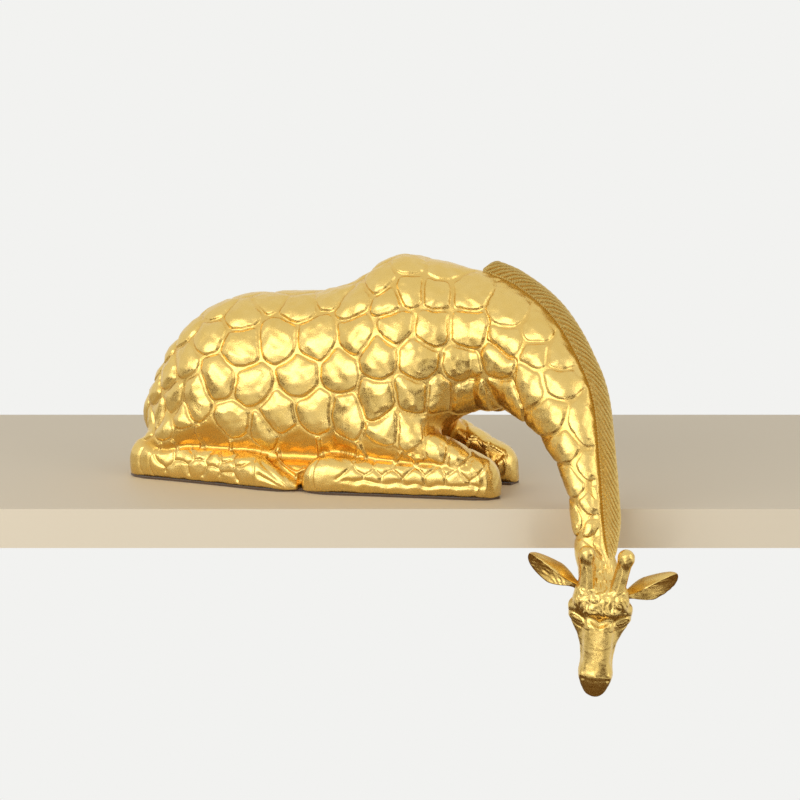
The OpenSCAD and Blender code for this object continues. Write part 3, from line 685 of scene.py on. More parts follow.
@dataclass
class Shins:
    """The small lumps, folds and hoof lines of the lower legs, placed by x and z."""

    fore: list = field(default_factory=lambda: [
        (30, 20), (37, 14), (44, 20), (50, 14), (57, 20), (63, 13), (70, 19), (78, 14), (84, 21),
        (92, 15), (99, 21), (106, 14), (113, 19), (121, 13)])
    hind: list = field(default_factory=lambda: [
        (-116, 10), (-106, 18), (-95, 9), (-91, 20), (-78, 12), (-77, 22), (-65, 17), (-67, 8), (-54, 14),
        (-54, 6), (-56, 22), (-45, 20), (-42, 12)])

    def cells(self, x: np.ndarray, z: np.ndarray, seeds: list) -> np.ndarray:
        """Gives the distance from the border between the two nearest seeds.

        It is (b^2 - a^2) / 2d, with a and b the distances from the two seeds and d the
        distance between them.

        Args:
            x: Places along the leg.
            z: Heights.
            seeds: Middles of the cells.

        Returns:
            The distance at each place.
        """
        spots = np.array(seeds, float)
        away = (x[:, None] - spots[:, 0]) ** 2 + (1.15 * (z[:, None] - spots[:, 1])) ** 2
        near = np.argsort(away, axis=1)[:, :3]
        rows = np.arange(len(x))
        best = np.full(len(x), 1e9)
        for rank in (1, 2):
            apart = np.linalg.norm(spots[near[:, rank]] - spots[near[:, 0]], axis=1)
            best = np.minimum(best, (away[rows, near[:, rank]] - away[rows, near[:, 0]]) / (2 * apart))
        return best

    def relief(self, points: np.ndarray) -> np.ndarray:
        """Works out how far the lower legs stand out.

        A lump falls to its border as (1 - e/4)^2 and ends in a fine crease. A fold is a
        bell-shaped groove across the leg. The hind hoof is cut in flat facets that fan
        out from its tip, by the angle seen from there.

        Args:
            points: Points of the surface.

        Returns:
            Height in millimetres.
        """
        x, z = points[:, 0], points[:, 2]
        sway = x + 1.5 * murmur(points, 14, 51)
        rise = z + 1.2 * murmur(points, 12, 52)
        total = np.zeros(len(points))
        bands = ((self.fore, ramp(20, 27, x) * ramp(127, 122, x), 9.5),
                 (self.hind, ramp(-124, -116, x) * ramp(-34, -40, x), 4.0))
        for seeds, along, low in bands:
            e = self.cells(sway, rise, seeds)
            lump = -0.9 * (1 - np.clip(e / 4, 0, 1)) ** 2 - 0.5 * bell(e, 0.6)
            total += lump * along * ramp(low, low + 3, rise) * ramp(25, 22.5, z)
        total -= 1.1 * bell(rise - 9.5, 1.6) * ramp(26, 34, x) * ramp(126, 118, x)
        for place, bow, deep in ((10, 0.02, 0.8), (-33, -0.02, 0.7), (-118, 0.03, 0.7), (-127, 0.03, 0.6)):
            total -= deep * bell(x - place - bow * (z - 12) ** 2, 0.8)
        angle = np.degrees(np.arctan2(z, -4 - x))
        reach = ramp(-32, -28, x) * ramp(0, -6, x)
        facet = np.abs((angle / 15) % 1 - 0.5)
        total -= 1.4 * (1 - 2 * facet) ** 2 * reach * ramp(8, 14, angle) * np.clip((-4 - x) / 26, 0, 1)
        knee = np.hypot(x - 106, z - 12)
        for radius in (13.5, 18.5):
            total += 0.6 * bell(knee - radius, 1.1) * ramp(108, 114, x)
        return total


# ---------------------------------------------------------------- meshes in Blender


def placed(name: str, data: bpy.types.ID) -> bpy.types.Object:
    """Makes an object of a mesh, a lamp or a camera and puts it into the scene."""
    item = bpy.data.objects.new(name, data)
    bpy.context.scene.collection.objects.link(item)
    return item


def shade(mesh: bpy.types.Mesh, normals: np.ndarray) -> None:
    """Shades a mesh with given outward directions, where its own would show a seam.

    Args:
        mesh: The mesh.
        normals: The directions at its points. A face with a point whose direction is
            nought is shaded flat.
    """
    corner = np.empty(len(mesh.loops), np.int32)
    sides = np.empty(len(mesh.polygons), np.int32)
    own = np.empty(3 * len(mesh.polygons), np.float32)
    mesh.loops.foreach_get("vertex_index", corner)
    mesh.polygons.foreach_get("loop_total", sides)
    mesh.polygons.foreach_get("normal", own)
    face = np.repeat(np.arange(len(sides)), sides)
    within = (np.abs(normals).sum(axis=1) == 0)[corner]
    flat = np.bincount(face, within) > 0
    ways = np.where(flat[face, None], own.reshape(-1, 3)[face], normals[corner])
    mesh.normals_split_custom_set(ways.tolist())


def carve(name: str, node: str, skin: Skin, finish: "Gilding", recess_shade: np.ndarray | None = None,
          normals: np.ndarray | None = None) -> bpy.types.Object:
    """Puts a skin into Blender as a smooth gilded piece that stands for a node.

    Args:
        name: Name of the piece, without carved_.
        node: The node of the frame that it stands for.
        skin: The mesh, in millimetres.
        finish: The gilded finish.
        recess_shade: Share of painted warm shade at each point, from 0 to 1.
        normals: Outward directions to shade with, if not the mesh's own.

    Returns:
        The new object.
    """
    mesh = bpy.data.meshes.new("carved_" + name)
    mesh.from_pydata((skin.points * MM).tolist(), [], skin.quads.tolist() + skin.triangles.tolist())
    mesh.polygons.foreach_set("use_smooth", np.ones(len(mesh.polygons), bool))
    # Stores the share of painted warm shade as an attribute, for the gilding to mix in.
    if recess_shade is not None:
        layer = mesh.attributes.new("recess_shade", "FLOAT", "POINT")
        layer.data.foreach_set("value", recess_shade.astype(np.float32))
    mesh.validate()
    mesh.update()
    if normals is not None:
        shade(mesh, normals)
    piece = placed("carved_" + name, mesh)
    finish.dress(piece)
    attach(piece, "root")
    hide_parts(node)
    LOG.info("%s: %d faces, stands for %s", piece.name, len(mesh.polygons), node)
    return piece


def outward(skin: Skin) -> np.ndarray:
    """Works out the outward direction at each point of a skin of four-sided faces, by area.

    Args:
        skin: The mesh.

    Returns:
        One unit vector for each point.
    """
    p = skin.points
    total = np.zeros_like(p)
    a, b, c, d = (p[skin.quads[:, i]] for i in range(4))
    direction = np.cross(b - d, c - a)
    for corner in skin.quads.T:
        for axis in range(3):
            total[:, axis] += np.bincount(corner, direction[:, axis], len(p))
    return unit(total)


def parted(skin: Skin, normals: np.ndarray, chosen: np.ndarray, hearts: np.ndarray) -> tuple:
    """Takes some of a skin's faces out as a closed piece.

    Each open edge is closed by a strip straight into the wood, a second strip to
    the heart of the wood, and each loop of hearts by a fan to its middle, where the
    piece meets its neighbour. A loop is followed by doubling: each point takes the
    lowest number reached over 1, 2, 4 and more steps.

    Args:
        skin: The whole skin, of four-sided faces.
        normals: Outward directions at its points.
        chosen: True for each face of the piece.
        hearts: The heart of the wood below each point.

    Returns:
        The piece, the outward directions at its points, and for each of its points the
        point of the whole, or -1 inside the wood.
    """
    faces = skin.quads[chosen]
    total = len(skin.points)
    edges = np.concatenate([faces[:, [i, (i + 1) % 4]] for i in range(4)])
    forward = edges[:, 0] * total + edges[:, 1]
    backward = edges[:, 1] * total + edges[:, 0]
    rim = edges[~np.isin(forward, backward)]
    follow = np.arange(total)
    follow[rim[:, 0]] = rim[:, 1]
    label = np.arange(total)
    for _ in range(14):
        label = np.minimum(label, label[follow])
        follow = follow[follow]
    loops, loop = np.unique(label[rim[:, 0]], return_inverse=True)
    heart_sum = np.stack([np.bincount(loop, hearts[rim[:, 0], i]) for i in range(3)], -1)
    middle = heart_sum / np.bincount(loop)[:, None]
    used, compact = np.unique(faces, return_inverse=True)
    ends = np.unique(rim)
    place = np.full(total, -1)
    place[used] = np.arange(len(used))
    first = np.full(total, -1)
    first[ends] = len(used) + np.arange(len(ends))
    levels = [place, first, first + len(ends)]
    start, end = rim.T
    strips = [np.stack([a[end], a[start], b[start], b[end]], -1) for a, b in zip(levels, levels[1:])]
    fans = np.stack([levels[2][end], levels[2][start], len(used) + 2 * len(ends) + loop], -1)
    straight_in = skin.points[ends] - SKIRT * normals[ends]
    points = np.concatenate([skin.points[used], straight_in, hearts[ends], middle])
    inside = 2 * len(ends) + len(loops)
    origin = np.concatenate([used, np.full(inside, -1)])
    ways = np.concatenate([normals[used], np.zeros((inside, 3))])
    return Skin(points, np.concatenate([compact.reshape(-1, 4)] + strips), fans), ways, origin


def carve_blocks(skin: Skin, height: np.ndarray, cavity_shade: np.ndarray, blocks: dict, hearts: np.ndarray,
                 finish: "Gilding") -> list:
    """Raises the relief on a skin and parts it into the pieces of its nodes.

    Args:
        skin: The whole skin, of four-sided faces.
        height: How far each point is raised, in millimetres.
        cavity_shade: Share of painted warm shade at each point, from 0 to 1.
        blocks: For the name of each piece, which faces it has.
        hearts: The heart of the wood below each point.
        finish: The gilded finish.

    Returns:
        The pieces.
    """
    carved = Skin(skin.points + outward(skin) * height[:, None], skin.quads, skin.triangles)
    shading = outward(carved)
    pieces = []
    for name, chosen in blocks.items():
        part, normals, origin = parted(carved, shading, chosen, hearts)
        recess_shade = np.where(origin >= 0, cavity_shade[origin], 0)
        node = "torso" if name.startswith("torso") else name
        pieces.append(carve(name, node, part, finish, recess_shade, normals))
    return pieces


# ---------------------------------------------------------------- the carved body


@dataclass
class CarvedBody:
    """Trunk, legs and the lower half of the neck, as one surface parted into blocks."""

    pitch: float = 0.73
    spine: Spine = field(default_factory=Spine)
    legs: Legs = field(default_factory=Legs)
    hide: Hide = field(default_factory=Hide)
    shins: Shins = field(default_factory=Shins)

    def whole(self) -> tuple:
        """Melts the lofts into one skin, with a web between each hind hoof and fore knee.

        Returns:
            The skin, and the share of cannon bone at each of its points.
        """
        block = Block((-148, -66, -3), (212, 62, 166), self.pitch, 6.3)
        legs = self.legs
        body = block.solid(loft(self.spine.rings()))
        for rows in (legs.forearm, legs.gaskin):
            body = melted(body, block.solid(legs.both(legs.upper(rows))), 6)
        x, y, z = block.axes()
        body = melted(body, rod((x, np.abs(y), z), (-26, 38, 12), (10, 38, 12), 8.5, 8.5), 5)
        lower = ((legs.fore_way, legs.fore_shape), (legs.hind_way, legs.hind_shape))
        cannons = np.minimum(*(block.solid(legs.both(legs.lower(*leg))) for leg in lower))
        form = melted(body, cannons, 2.5)
        board = np.maximum(np.maximum(np.abs(x + 21) - 97, np.abs(y) - CORE), z - BOARD_TOP)
        form = np.maximum(np.maximum(form, SOLE - z), -board)
        skin = block.surface(form)
        bone = ramp(-1.5, 1.5, block.sample(body, skin.points) - block.sample(cannons, skin.points))
        return skin, bone

    def node_of(self, centre: np.ndarray) -> np.ndarray:
        """Names the block of wood that each face belongs to, by the joint planes of the frame.

        Args:
            centre: Middles of the faces.

        Returns:
            One name for each face, or beyond where the head's surface takes over.
        """
        x, y, z = centre.T
        wide = np.abs(y)
        top = LEG_TOP
        fore_top = np.interp(x, [-2, -1.99, 20, 60, 88, 118, 160], [top, top, 64, 65, 51, top, top])
        hind_top = np.interp(-x, [2, 2.01, 29, 74, 114, 167, 170], [top, top, 60, 64, 50, 34, 34])
        fore = (x > -2) & (((wide > CORE) & (z < fore_top)) | ((x > 76) & (wide > 13) & (z < 31)))
        hind = (x <= -2) & (((wide > CORE) & (z < hind_top)) | ((x < -117) & (wide > 13) & (z < 26)))
        name = np.where(x > 0, "torso_front", "torso_rear").astype(object)
        name[(x > ROOT[0]) & (z > top + 1)] = "neck_lower"
        for leg, here in (("foreleg", fore), ("hindleg", hind)):
            name[here & (y < 0)] = "right_" + leg
            name[here & (y > 0)] = "left_" + leg
        scarf, forward = self.spine.scarf()
        past = ((centre - scarf) @ forward) > 0
        name[(past & (name == "neck_lower")) | ((x > 160) & (z < top + 1))] = "beyond"
        return name

    def hearts(self, points: np.ndarray) -> np.ndarray:
        """Gives the heart of the wood below each point of a joint.

        It is the middle of the trunk or of the neck at a joint across them. At a leg's
        joint it lies on a line inside the leg that comes down towards the knee and the
        hock.

        Args:
            points: Points of the surface.

        Returns:
            One place for each point.
        """
        x, y, z = points.T
        line = [-140, -118, -95, 70, 95, 112, 124, 131]
        beside = np.interp(x, line, [26, 26, 22, 22, 24, 26, 26, 26])
        above = np.interp(x, line, [11, 13, 30, 28, 19, 14, 12, 10])
        heart = np.stack([x, np.sign(y) * beside, above], -1)
        neck = z > LEG_TOP + 1
        heart[(np.abs(x) < 2.6) & (neck | (np.abs(y) < CORE - 0.5))] = (0, 0, 70)
        heart[(np.abs(x - ROOT[0]) < 2.6) & (z > LEG_TOP + 4)] = ROOT
        heart[(x > ROOT[0] + 4) & neck | (x > 140)] = self.spine.scarf()[0]
        return heart

    def build(self, finish: "Gilding") -> list:
        """Builds the pieces of the body.

        Args:
            finish: The gilded finish.

        Returns:
            The pieces.
        """
        skin, bone = self.whole()
        LOG.info("melted body has %d points", len(skin.points))
        p = skin.points
        up = outward(skin)
        calm = ramp(SOLE, SOLE + 5, p[:, 2]) * (1 - bone) * self.hide.beside_mane(p, self.spine)
        # The relief also gives the share of painted warm shade in its channels and hollows.
        height, cavity_shade = self.hide.relief(p, up, calm, self.spine)
        shins = bone * ramp(SOLE + 0.5, SOLE + 3, p[:, 2]) * ramp(0.98, 0.8, np.abs(up[:, 2]))
        height += shins * self.shins.relief(p) + 0.16 * murmur(p, 6, 21) + 0.2 * murmur(p, 13, 22)
        name = self.node_of(p[skin.quads].mean(axis=1))
        blocks = {node: name == node for node in sorted(set(name) - {"beyond"})}
        return carve_blocks(skin, height, cavity_shade, blocks, self.hearts(p), finish)


# ---------------------------------------------------------------- the neck's end and the head


def egg(place: tuple, centre: tuple, radii: tuple) -> np.ndarray:
    """Measures the distance from an egg.

    With k the length of (place - centre) / radii and m that of (place - centre) /
    radii^2, the distance is k(k - 1) / m.

    Args:
        place: x, y and z of the voxels, as three arrays.
        centre: Middle of the egg.
        radii: Half of its size along each axis.

    Returns:
        The distance, negative inside.
    """
    steps = [(place[i] - centre[i]) / radii[i] for i in range(3)]
    k = np.sqrt(sum(s * s for s in steps))
    m = np.sqrt(sum((s / r) ** 2 for s, r in zip(steps, radii))) + 1e-6
    return k * (k - 1) / m


def rod(place: tuple, start: tuple, end: tuple, first: float, last: float) -> np.ndarray:
    """Measures the distance from a round-ended rod whose radius runs from first to last.

    Args:
        place: x, y and z of the voxels, as three arrays.
        start: One end of the rod's axis.
        end: The other end.
        first: Radius at the start.
        last: Radius at the end.

    Returns:
        The distance, negative inside.
    """
    way = np.array(end, float) - np.array(start, float)
    off = [place[i] - start[i] for i in range(3)]
    t = np.clip(sum(off[i] * way[i] for i in range(3)) / (way @ way), 0, 1)
    away = np.sqrt(sum((off[i] - t * way[i]) ** 2 for i in range(3)))
    return away - (first + (last - first) * t)


def cut(form: np.ndarray, tool: np.ndarray, width: float) -> np.ndarray:
    """Takes a tool's form away, with an edge rounded by the given width."""
    return -melted(-form, tool, width)


@dataclass
class CarvedHead:
    """The upper block of the neck and the head below it, as one surface parted in two.

    The neck's upper block runs over its lower one by the overlap.
    """

    pitch: float = 0.42
    overlap: float = 0.6
    spine: Spine = field(default_factory=Spine)
    place: HeadPlace = field(default_factory=HeadPlace)
    hide: Hide = field(default_factory=Hide)
    skull: list = field(default_factory=lambda: [
        # height below the joint, half width, front y, rear y
        [-3, 12.3, -12.3, 12.3], [3, 14.2, -16.5, 14], [10, 16.6, -19.2, 16], [17, 17.2, -17.6, 16.5],
        [25, 14.6, -15.2, 15], [34, 10.6, -16, 12], [43, 8.6, -14.6, 9], [50, 8.4, -13.6, 7],
        [57, 8.8, -13.5, 5.5], [63, 7.2, -13, 3], [67.5, 4.8, -11.6, -1], [69, 2, -10, -5]])

    # Each form of the face: the valley that it is melted in with, its kind, and its measures.
    forms: list = field(default_factory=lambda: [
        # forehead and brow
        (0.1, egg, (7, -13.4, -8.5), (9.6, 8.2, 8)), (3, egg, (0, -14.6, -9.5), (6.5, 7.4, 8.5)),
        (2, rod, (15.4, -8.6, -14), (6.5, -18.6, -14), 3.5, 3.3),
        (1.5, rod, (6.5, -18.6, -14), (0, -18.9, -13.6), 3.3, 3.2),
        (1, rod, (1.6, -18.2, -16), (0, -16.2, -22), 1.6, 1.2),
        # cheeks
        (4, rod, (14.2, -5.5, -19.5), (7.2, -7, -34), 4.9, 3.5),
        (3, rod, (7.2, -7, -34), (5.6, -7.4, -52), 3.5, 3.2),
        # bridge of the nose
        (2, rod, (3.4, -13.4, -25), (3.4, -11.8, -53), 4.9, 4.4),
        (2, rod, (0, -14.2, -25), (0, -12.4, -53), 4.2, 3.9),
        # muzzle and jaw
        (3.5, egg, (0, -10.6, -55), (10.2, 7.4, 9.5)), (3, egg, (0, -8.6, -61), (7.4, 6.2, 8.2)),
        (6, rod, (0, 9, -16), (0, 0, -56), 5.5, 3.6), (5, rod, (10, 8, -16), (5.5, 3.5, -40), 5, 2.5)])

    def face(self, p: tuple) -> np.ndarray:
        """Melts the forms of the face together, in the head's own frame.

        Args:
            p: x, y and z of the voxels, with x taken as its size, so that both halves match.

        Returns:
            The distance from the face's forms.
        """
        _, kind, *measures = self.forms[0]
        form = kind(p, *measures)
        for width, kind, *measures in self.forms[1:]:
            form = melted(form, kind(p, *measures), width)
        return form

    def features(self, form: np.ndarray, p: tuple) -> np.ndarray:
        """Cuts the brow's V, the nostrils and the lips, and lays on the horns' collars.

        Args:
            form: The distance from the head.
            p: x, y and z of the voxels in the head's frame.

        Returns:
            The distance from the finished head.
        """
        form = cut(form, rod(p, (11, -17.2, -17.6), (0, -18.8, -22.2), 1.4, 2.5), 1.6)
        form = cut(form, rod(p, (5.6, -18.2, -55.6), (8.2, -15.2, -57.4), 0.5, 1.0), 0.8)
        form = melted(form, rod(p, (0, -17, -54), (7.6, -14.8, -54.6), 1.3, 1.2), 2)
        form = cut(form, rod(p, (9.8, -4, -58), (7, -10.5, -62.5), 0.45, 0.3), 0.8)
        return melted(form, egg(p, (9, -13.6, -2.5), (6.4, 6.2, 4.6)), 2.5)

    def whole(self) -> Skin:
        """Melts the neck, the skull and the face into one skin.

        Returns:
            The skin.
        """
        block = Block((158, -102, -110), (234, -20, 68), self.pitch, 4.2)
        neck = block.solid(loft(self.spine.rings()[149:]))
        turned = self.place.turned()
        away = [line - joint for line, joint in zip(block.axes(), self.place.joint)]
        local = [sum(away[i] * np.float32(turned[i, k]) for i in range(3)) for k in range(3)]
        p = (np.abs(local[0]), local[1], local[2])
        below, wide, front, rear = faired(self.skull, 120).T[..., None]
        centre = np.column_stack([0 * below, (front + rear) / 2, -below])
        rings = section_rings(centre, (1, 0, 0), (0, 1, 0), wide, (rear - front) / 2, 2.2, 140)
        skull = block.solid(loft(self.place.to_world(rings)))
        form = melted(melted(neck, skull, 5), self.face(p), 3)
        return block.surface(self.features(form, p))

    def detail(self, points: np.ndarray) -> np.ndarray:
        """Works out the head's rough carving.

        Bumps of about 5 mm cover the forehead, and finer hair lies on the poll between
        the ossicones. An eye is half an egg inside a slanted oval, with the lids as a
        ridge round it and folds outside. The bridge of the nose and the muzzle stay
        smooth.

        Args:
            points: Places in the head's frame.

        Returns:
            Height in millimetres.
        """
        x, y, z = points.T
        front = ramp(2, -6, y)
        brow = front * ramp(-18, -15.5, z) * ramp(1, -5, z) * ramp(17, 13, np.abs(x))
        bumps = 0.95 * np.abs(murmur(points * [1.2, 1.2, 0.75], 4.6, 31)) ** 0.7 - 0.5
        poll = front * ramp(-5, 0, z) * ramp(15, 9, z) * ramp(7, 3, np.abs(x))
        hair = murmur(points * [1.0, 1.0, 0.5], 2.6, 32)
        u, v = np.abs(x) - 13.2, z + 21.8
        across = (u * SLANT[0] + v * SLANT[1]) / 3.6
        ring = np.hypot(across, (v * SLANT[0] - u * SLANT[1]) / 1.5)
        eye = 0.9 * np.sqrt(np.clip(1 - ring**2, 0, 1)) + 0.55 * bell(ring - 1.25, 0.22)
        eye -= 0.5 * bell(ring - 1.8, 0.25) * ramp(-1, 1, v) + 0.3 * bell(ring - 2.6, 0.3) * ramp(1, -1, v)
        skin = 0.1 * murmur(points, 5, 33) * ramp(-50, -54, z) + 0.06 * murmur(points, 4, 34)
        return 0.9 * brow * bumps * ramp(1.3, 2, ring) + 0.4 * poll * hair + front * eye + skin

    def build(self, finish: "Gilding") -> list:
        """Builds the neck's upper block and the head.

        Args:
            finish: The gilded finish.

        Returns:
            The pieces.
        """
        skin = self.whole()
        LOG.info("neck and head have %d points", len(skin.points))
        p = skin.points
        local = self.place.to_local(p)
        calm = ramp(6, 12, local[:, 2]) * self.hide.beside_mane(p, self.spine)
        # The relief also gives the share of painted warm shade in its channels and hollows.
        height, cavity_shade = self.hide.relief(p, outward(skin), calm, self.spine)
        height += self.detail(local) * ramp(22, 8, local[:, 2]) + 0.08 * murmur(p, 6, 21)
        middle = p[skin.quads].mean(axis=1)
        scarf, forward = self.spine.scarf()
        below = self.place.to_local(middle)[:, 2] < 0
        upper = ~below & (((middle - scarf) @ forward) > -self.overlap)
        hearts = np.where((local[:, 2] < 8)[:, None], np.array(self.place.joint), scarf)
        return carve_blocks(skin, height, cavity_shade, {"neck_upper": upper, "head": below}, hearts, finish)


# ---------------------------------------------------------------- mane, tail, ears and ossicones


@dataclass
class Carving:
    """A small carving that is a piece of its own and stands for the node of its name."""

    name: str

    def form(self) -> tuple:
        """Gives the skin, and the share of painted warm shade in its grooves at each point of it, or None."""
        raise NotImplementedError

    def build(self, finish: "Gilding") -> bpy.types.Object:
        """Builds the piece with the gilded finish."""
        skin, recess_shade = self.form()
        return carve(self.name, self.name, skin, finish, recess_shade)


def with_ends(values: np.ndarray) -> np.ndarray:
    """Lists the values at a loft's rings, and nought for the middle of each end."""
    return np.concatenate([values.ravel(), [0, 0]])


@dataclass
class Mane(Carving):
    """The crest along the neck, with strands swept towards the head."""

    name: str = "mane"
    half_width: float = 4.2
    height: float = 9.5
    strand: float = 4.8
    slope: float = 1.7
    spine: Spine = field(default_factory=Spine)

    def form(self) -> tuple:
        """Models the mane.

        The section is a blunt blade. A strand's groove lies where (s - slope q) / strand
        is near a whole number, with s the distance along the foot and q the way up the
        side and over to the ridge. A line of small beads runs along the foot.

        Returns:
            The skin, and the share of painted warm shade in the strands' grooves.
        """
        foot, upper, side = self.spine.mane_line(1100, 0.95)
        step = np.linalg.norm(np.diff(foot, axis=0), axis=1)
        s = np.concatenate([[0], np.cumsum(step)])[:, None]
        end = s[-1, 0]
        rise = np.minimum(ramp(-3.2, 11, s) ** 0.75, ramp(end + 2, end - 34, s) ** 0.9)
        a = np.linspace(-np.pi / 2, 1.5 * np.pi, 90, endpoint=False)[None, :]
        across = squared(np.cos(a), 2.2) * self.half_width * (0.35 + 0.65 * rise**0.5)
        up = -1.8 + (1.8 + self.height * rise) * (0.5 + 0.5 * squared(np.sin(a), 2.6))
        h = np.maximum(up, 0)
        up = up - 4 * ramp(end - 14, end, s)
        side, upper = side[:, None], upper[:, None]
        place = foot[:, None] + across[..., None] * side + up[..., None] * upper
        wander = murmur(place.reshape(-1, 3), 9, 41).reshape(up.shape)
        over = h + np.where(np.sin(a) > 0, self.half_width * (1 - np.abs(np.cos(a))), 0)
        phase = (s - self.slope * over + 0.5 * wander) / self.strand
        groove = np.cos(np.pi * phase) ** 4
        deep = ramp(0.6, 2.5, h) * rise**0.5
        bead = bell(h - 0.9, 0.55) * (up > 0) * rise**0.5
        out = deep * (0.15 - 0.55 * groove) + bead * (0.35 + 0.25 * np.cos(np.pi * s))
        ridge = np.maximum(np.sin(a), 0)[..., None]
        away = unit(across[..., None] / self.half_width * side + ridge * upper)
        # The grooves between the strands get painted warm shade.
        return loft(place + out[..., None] * away), with_ends(0.5 * deep * groove**2)


@dataclass
class Tail(Carving):
    """The tail, laid over the rump and down the left haunch, with its tuft of hair."""

    name: str = "tail"
    spots: list = field(default_factory=lambda: [
        # section of the trunk, degrees about it, share of the girth
        [3.2, 84, 1], [2.5, 74, 0.95], [2.1, 56, 0.85], [1.95, 34, 0.8],
        [2.2, 12, 0.85], [2.7, -2, 1], [3.1, -8, 0.7]])
    thick: float = 6.0
    tuft: float = 9.0
    spine: Spine = field(default_factory=Spine)

    def form(self) -> tuple:
        """Models the tail as a tube that lies on the trunk.

        The tube's radius follows the girth and widens into the tuft with the fourth
        power of the length. The tuft's hair is |sin| grooves that twist along it.

        Returns:
            The skin, and how far the bole shows.
        """
        rows = faired(self.spots, 260)

        def at(section: float, turn: float) -> np.ndarray:
            """Reads the trunk beside the tail's line."""
            sections = row_at(self.spine.trunk, rows[:, 0] + section)
            return self.spine.on_trunk(sections, np.radians(rows[:, 1:2] + turn))[:, 0]

        out = unit(np.cross(at(0.05, 0) - at(-0.05, 0), at(0, -3) - at(0, 3)))
        t = np.linspace(0, 1, len(rows))[:, None]
        r = rows[:, 2:] * (self.thick + (self.tuft - self.thick) * t**4) / 2
        rounded = np.clip(1 - ramp(0.97, 1, t), 0.002, 1) * np.clip(ramp(-0.01, 0.012, t), 0.01, 1)
        centre = at(0, 0) + (r - 0.4) * out
        forward = unit(np.gradient(centre, axis=0))
        out = unit(out - (out * forward).sum(-1, keepdims=True) * forward)
        a = np.linspace(0, 2 * np.pi, 96, endpoint=False)[None, :]
        hair = np.abs(np.sin(5 * a + 9 * t)) ** 0.6
        tuft = ramp(0.6, 0.72, t)
        strands = tuft * (0.16 * (hair - 0.6) + 0.03 * np.sin(17 * a + 24 * t))
        ripple = 0.02 * (1 - tuft) * np.sin(60 * t + 2 * a)
        size = r * np.sqrt(rounded) * (1 + strands + ripple)
        rings = section_rings(centre, np.cross(out, forward), out, size, size, 2.0, a.size)
        # The grooves of the tuft get painted warm shade.
        return loft(rings), with_ends(tuft * np.clip(1 - 1.6 * hair, 0, 1))


@dataclass
class Ear(Carving):
    """A cupped ear with a hairy inside, whose foot sinks into the head.

    It leans by the turn about the head's y axis, and opens to the open turn about its
    own length.
    """

    at: tuple
    turn: float
    open_turn: float
    length: float = 31.0
    half_width: float = 13.2
    place: HeadPlace = field(default_factory=HeadPlace)

    def form(self) -> tuple:
        """Models the ear.

        Its section is a bowed sheet: x = w s and y = d (1/2 - s^2) for s from -1 to 1,
        thickened to both sides of that line and filled at the foot. The bow deepens to
        the middle and dies away at the tip.

        Returns:
            The skin, and the share of painted warm shade inside the ear.
        """
        t = np.linspace(0, 1, 150)[:, None]
        along = -3 + t * (self.length + 5.4)
        taper = np.sqrt(np.maximum(1 - np.clip((t - 0.45) / 0.55, 0, 1) ** 2.7, 0.004))
        wide = (4 + (self.half_width - 4) * ramp(0.05, 0.5, t)) * taper
        bow = wide * (0.5 + 0.5 * ramp(0, 0.25, t)) * (1 - 0.55 * t)
        thick = (2.3 - t) * np.minimum(1, 0.25 + 9 * (1 - t))
        half = np.linspace(-1, 1, 60)
        s = np.concatenate([half, half[::-1]])[None, :]
        outer = np.concatenate([np.ones(60), -np.ones(60)])[None, :]
        edge = np.sqrt(np.maximum(1 - s**4, 0))
        filled = -0.5 - ramp(0.22, 0.02, t) * bow / thick * (1 - s * s) * 0.9
        x = wide * s * (1 + 0.06 * outer * thick / wide)
        y = bow * (0.5 - s * s) + np.where(outer > 0, 0.5, filled) * thick * edge
        opened = spun(2, self.open_turn)
        rings = np.stack([x, y, np.broadcast_to(along, x.shape)], -1) @ opened.T
        hair = murmur(rings.reshape(-1, 3) * [1.0, 1, 0.5], 2.2, 51).reshape(x.shape)
        inner = (outer < 0) * edge * ramp(0.1, 0.3, t) * ramp(1, 0.85, t)
        lip = bell(s - 0.8, 0.25) * ramp(0.15, 0.5, t) * ramp(1, 0.8, t) * (outer < 0)
        sunk = inner * (0.35 * hair + 0.12) - 0.9 * lip * (0.6 + 0.4 * hair)
        rings += sunk[..., None] * opened[:, 1]
        local = rings @ spun(1, self.turn).T + self.at
        # The inside of the ear gets painted warm shade.
        return loft(self.place.to_world(local)), with_ends(inner * 0.3)


@dataclass
class Ossicone(Carving):
    """A turned horn with a knob, fluted by the gouge."""

    at: tuple
    spread: float
    lean: float = 9.0
    profile: list = field(default_factory=lambda: [
        # height, radius
        [-2, 5.2], [0, 5.3], [2.5, 5], [5, 4.6], [9, 4.3], [14, 4.2], [19, 4.1], [20.6, 4.25],
        [22.5, 4.7], [25, 4.95], [27.3, 4.5], [29, 3.2], [29.8, 1.8], [30, 0.4]])
    place: HeadPlace = field(default_factory=HeadPlace)

    def form(self) -> tuple:
        """Models the ossicone as its profile turned round its axis, with shallow flutes and dents.

        Returns:
            The skin, and None, since no painted shade is laid on it.
        """
        rows = faired(self.profile, 150)
        h, r = rows[:, :1], rows[:, 1:]
        a = np.linspace(0, 2 * np.pi, 120, endpoint=False)[None, :]
        axis = h * (0, 0, 1)
        smooth = section_rings(axis, (1, 0, 0), (0, 1, 0), r, r, 2.0, a.size)
        dents, waves = (murmur(smooth.reshape(-1, 3), size, seed).reshape(smooth.shape[:2])
                        for size, seed in ((4.5, 61), (12, 62)))
        shaft = ramp(2, 6, h) * ramp(20, 16, h)
        flutes = 0.16 * shaft * np.sin(7 * a + 0.8 * waves)
        r = r + flutes + 0.22 * dents * ramp(0, 3, r) * (1 - 0.5 * shaft)
        rings = section_rings(axis, (1, 0, 0), (0, 1, 0), r, r, 2.0, a.size)
        local = rings @ (spun(1, self.spread) @ spun(0, self.lean)).T + self.at
        return loft(self.place.to_world(local)), None


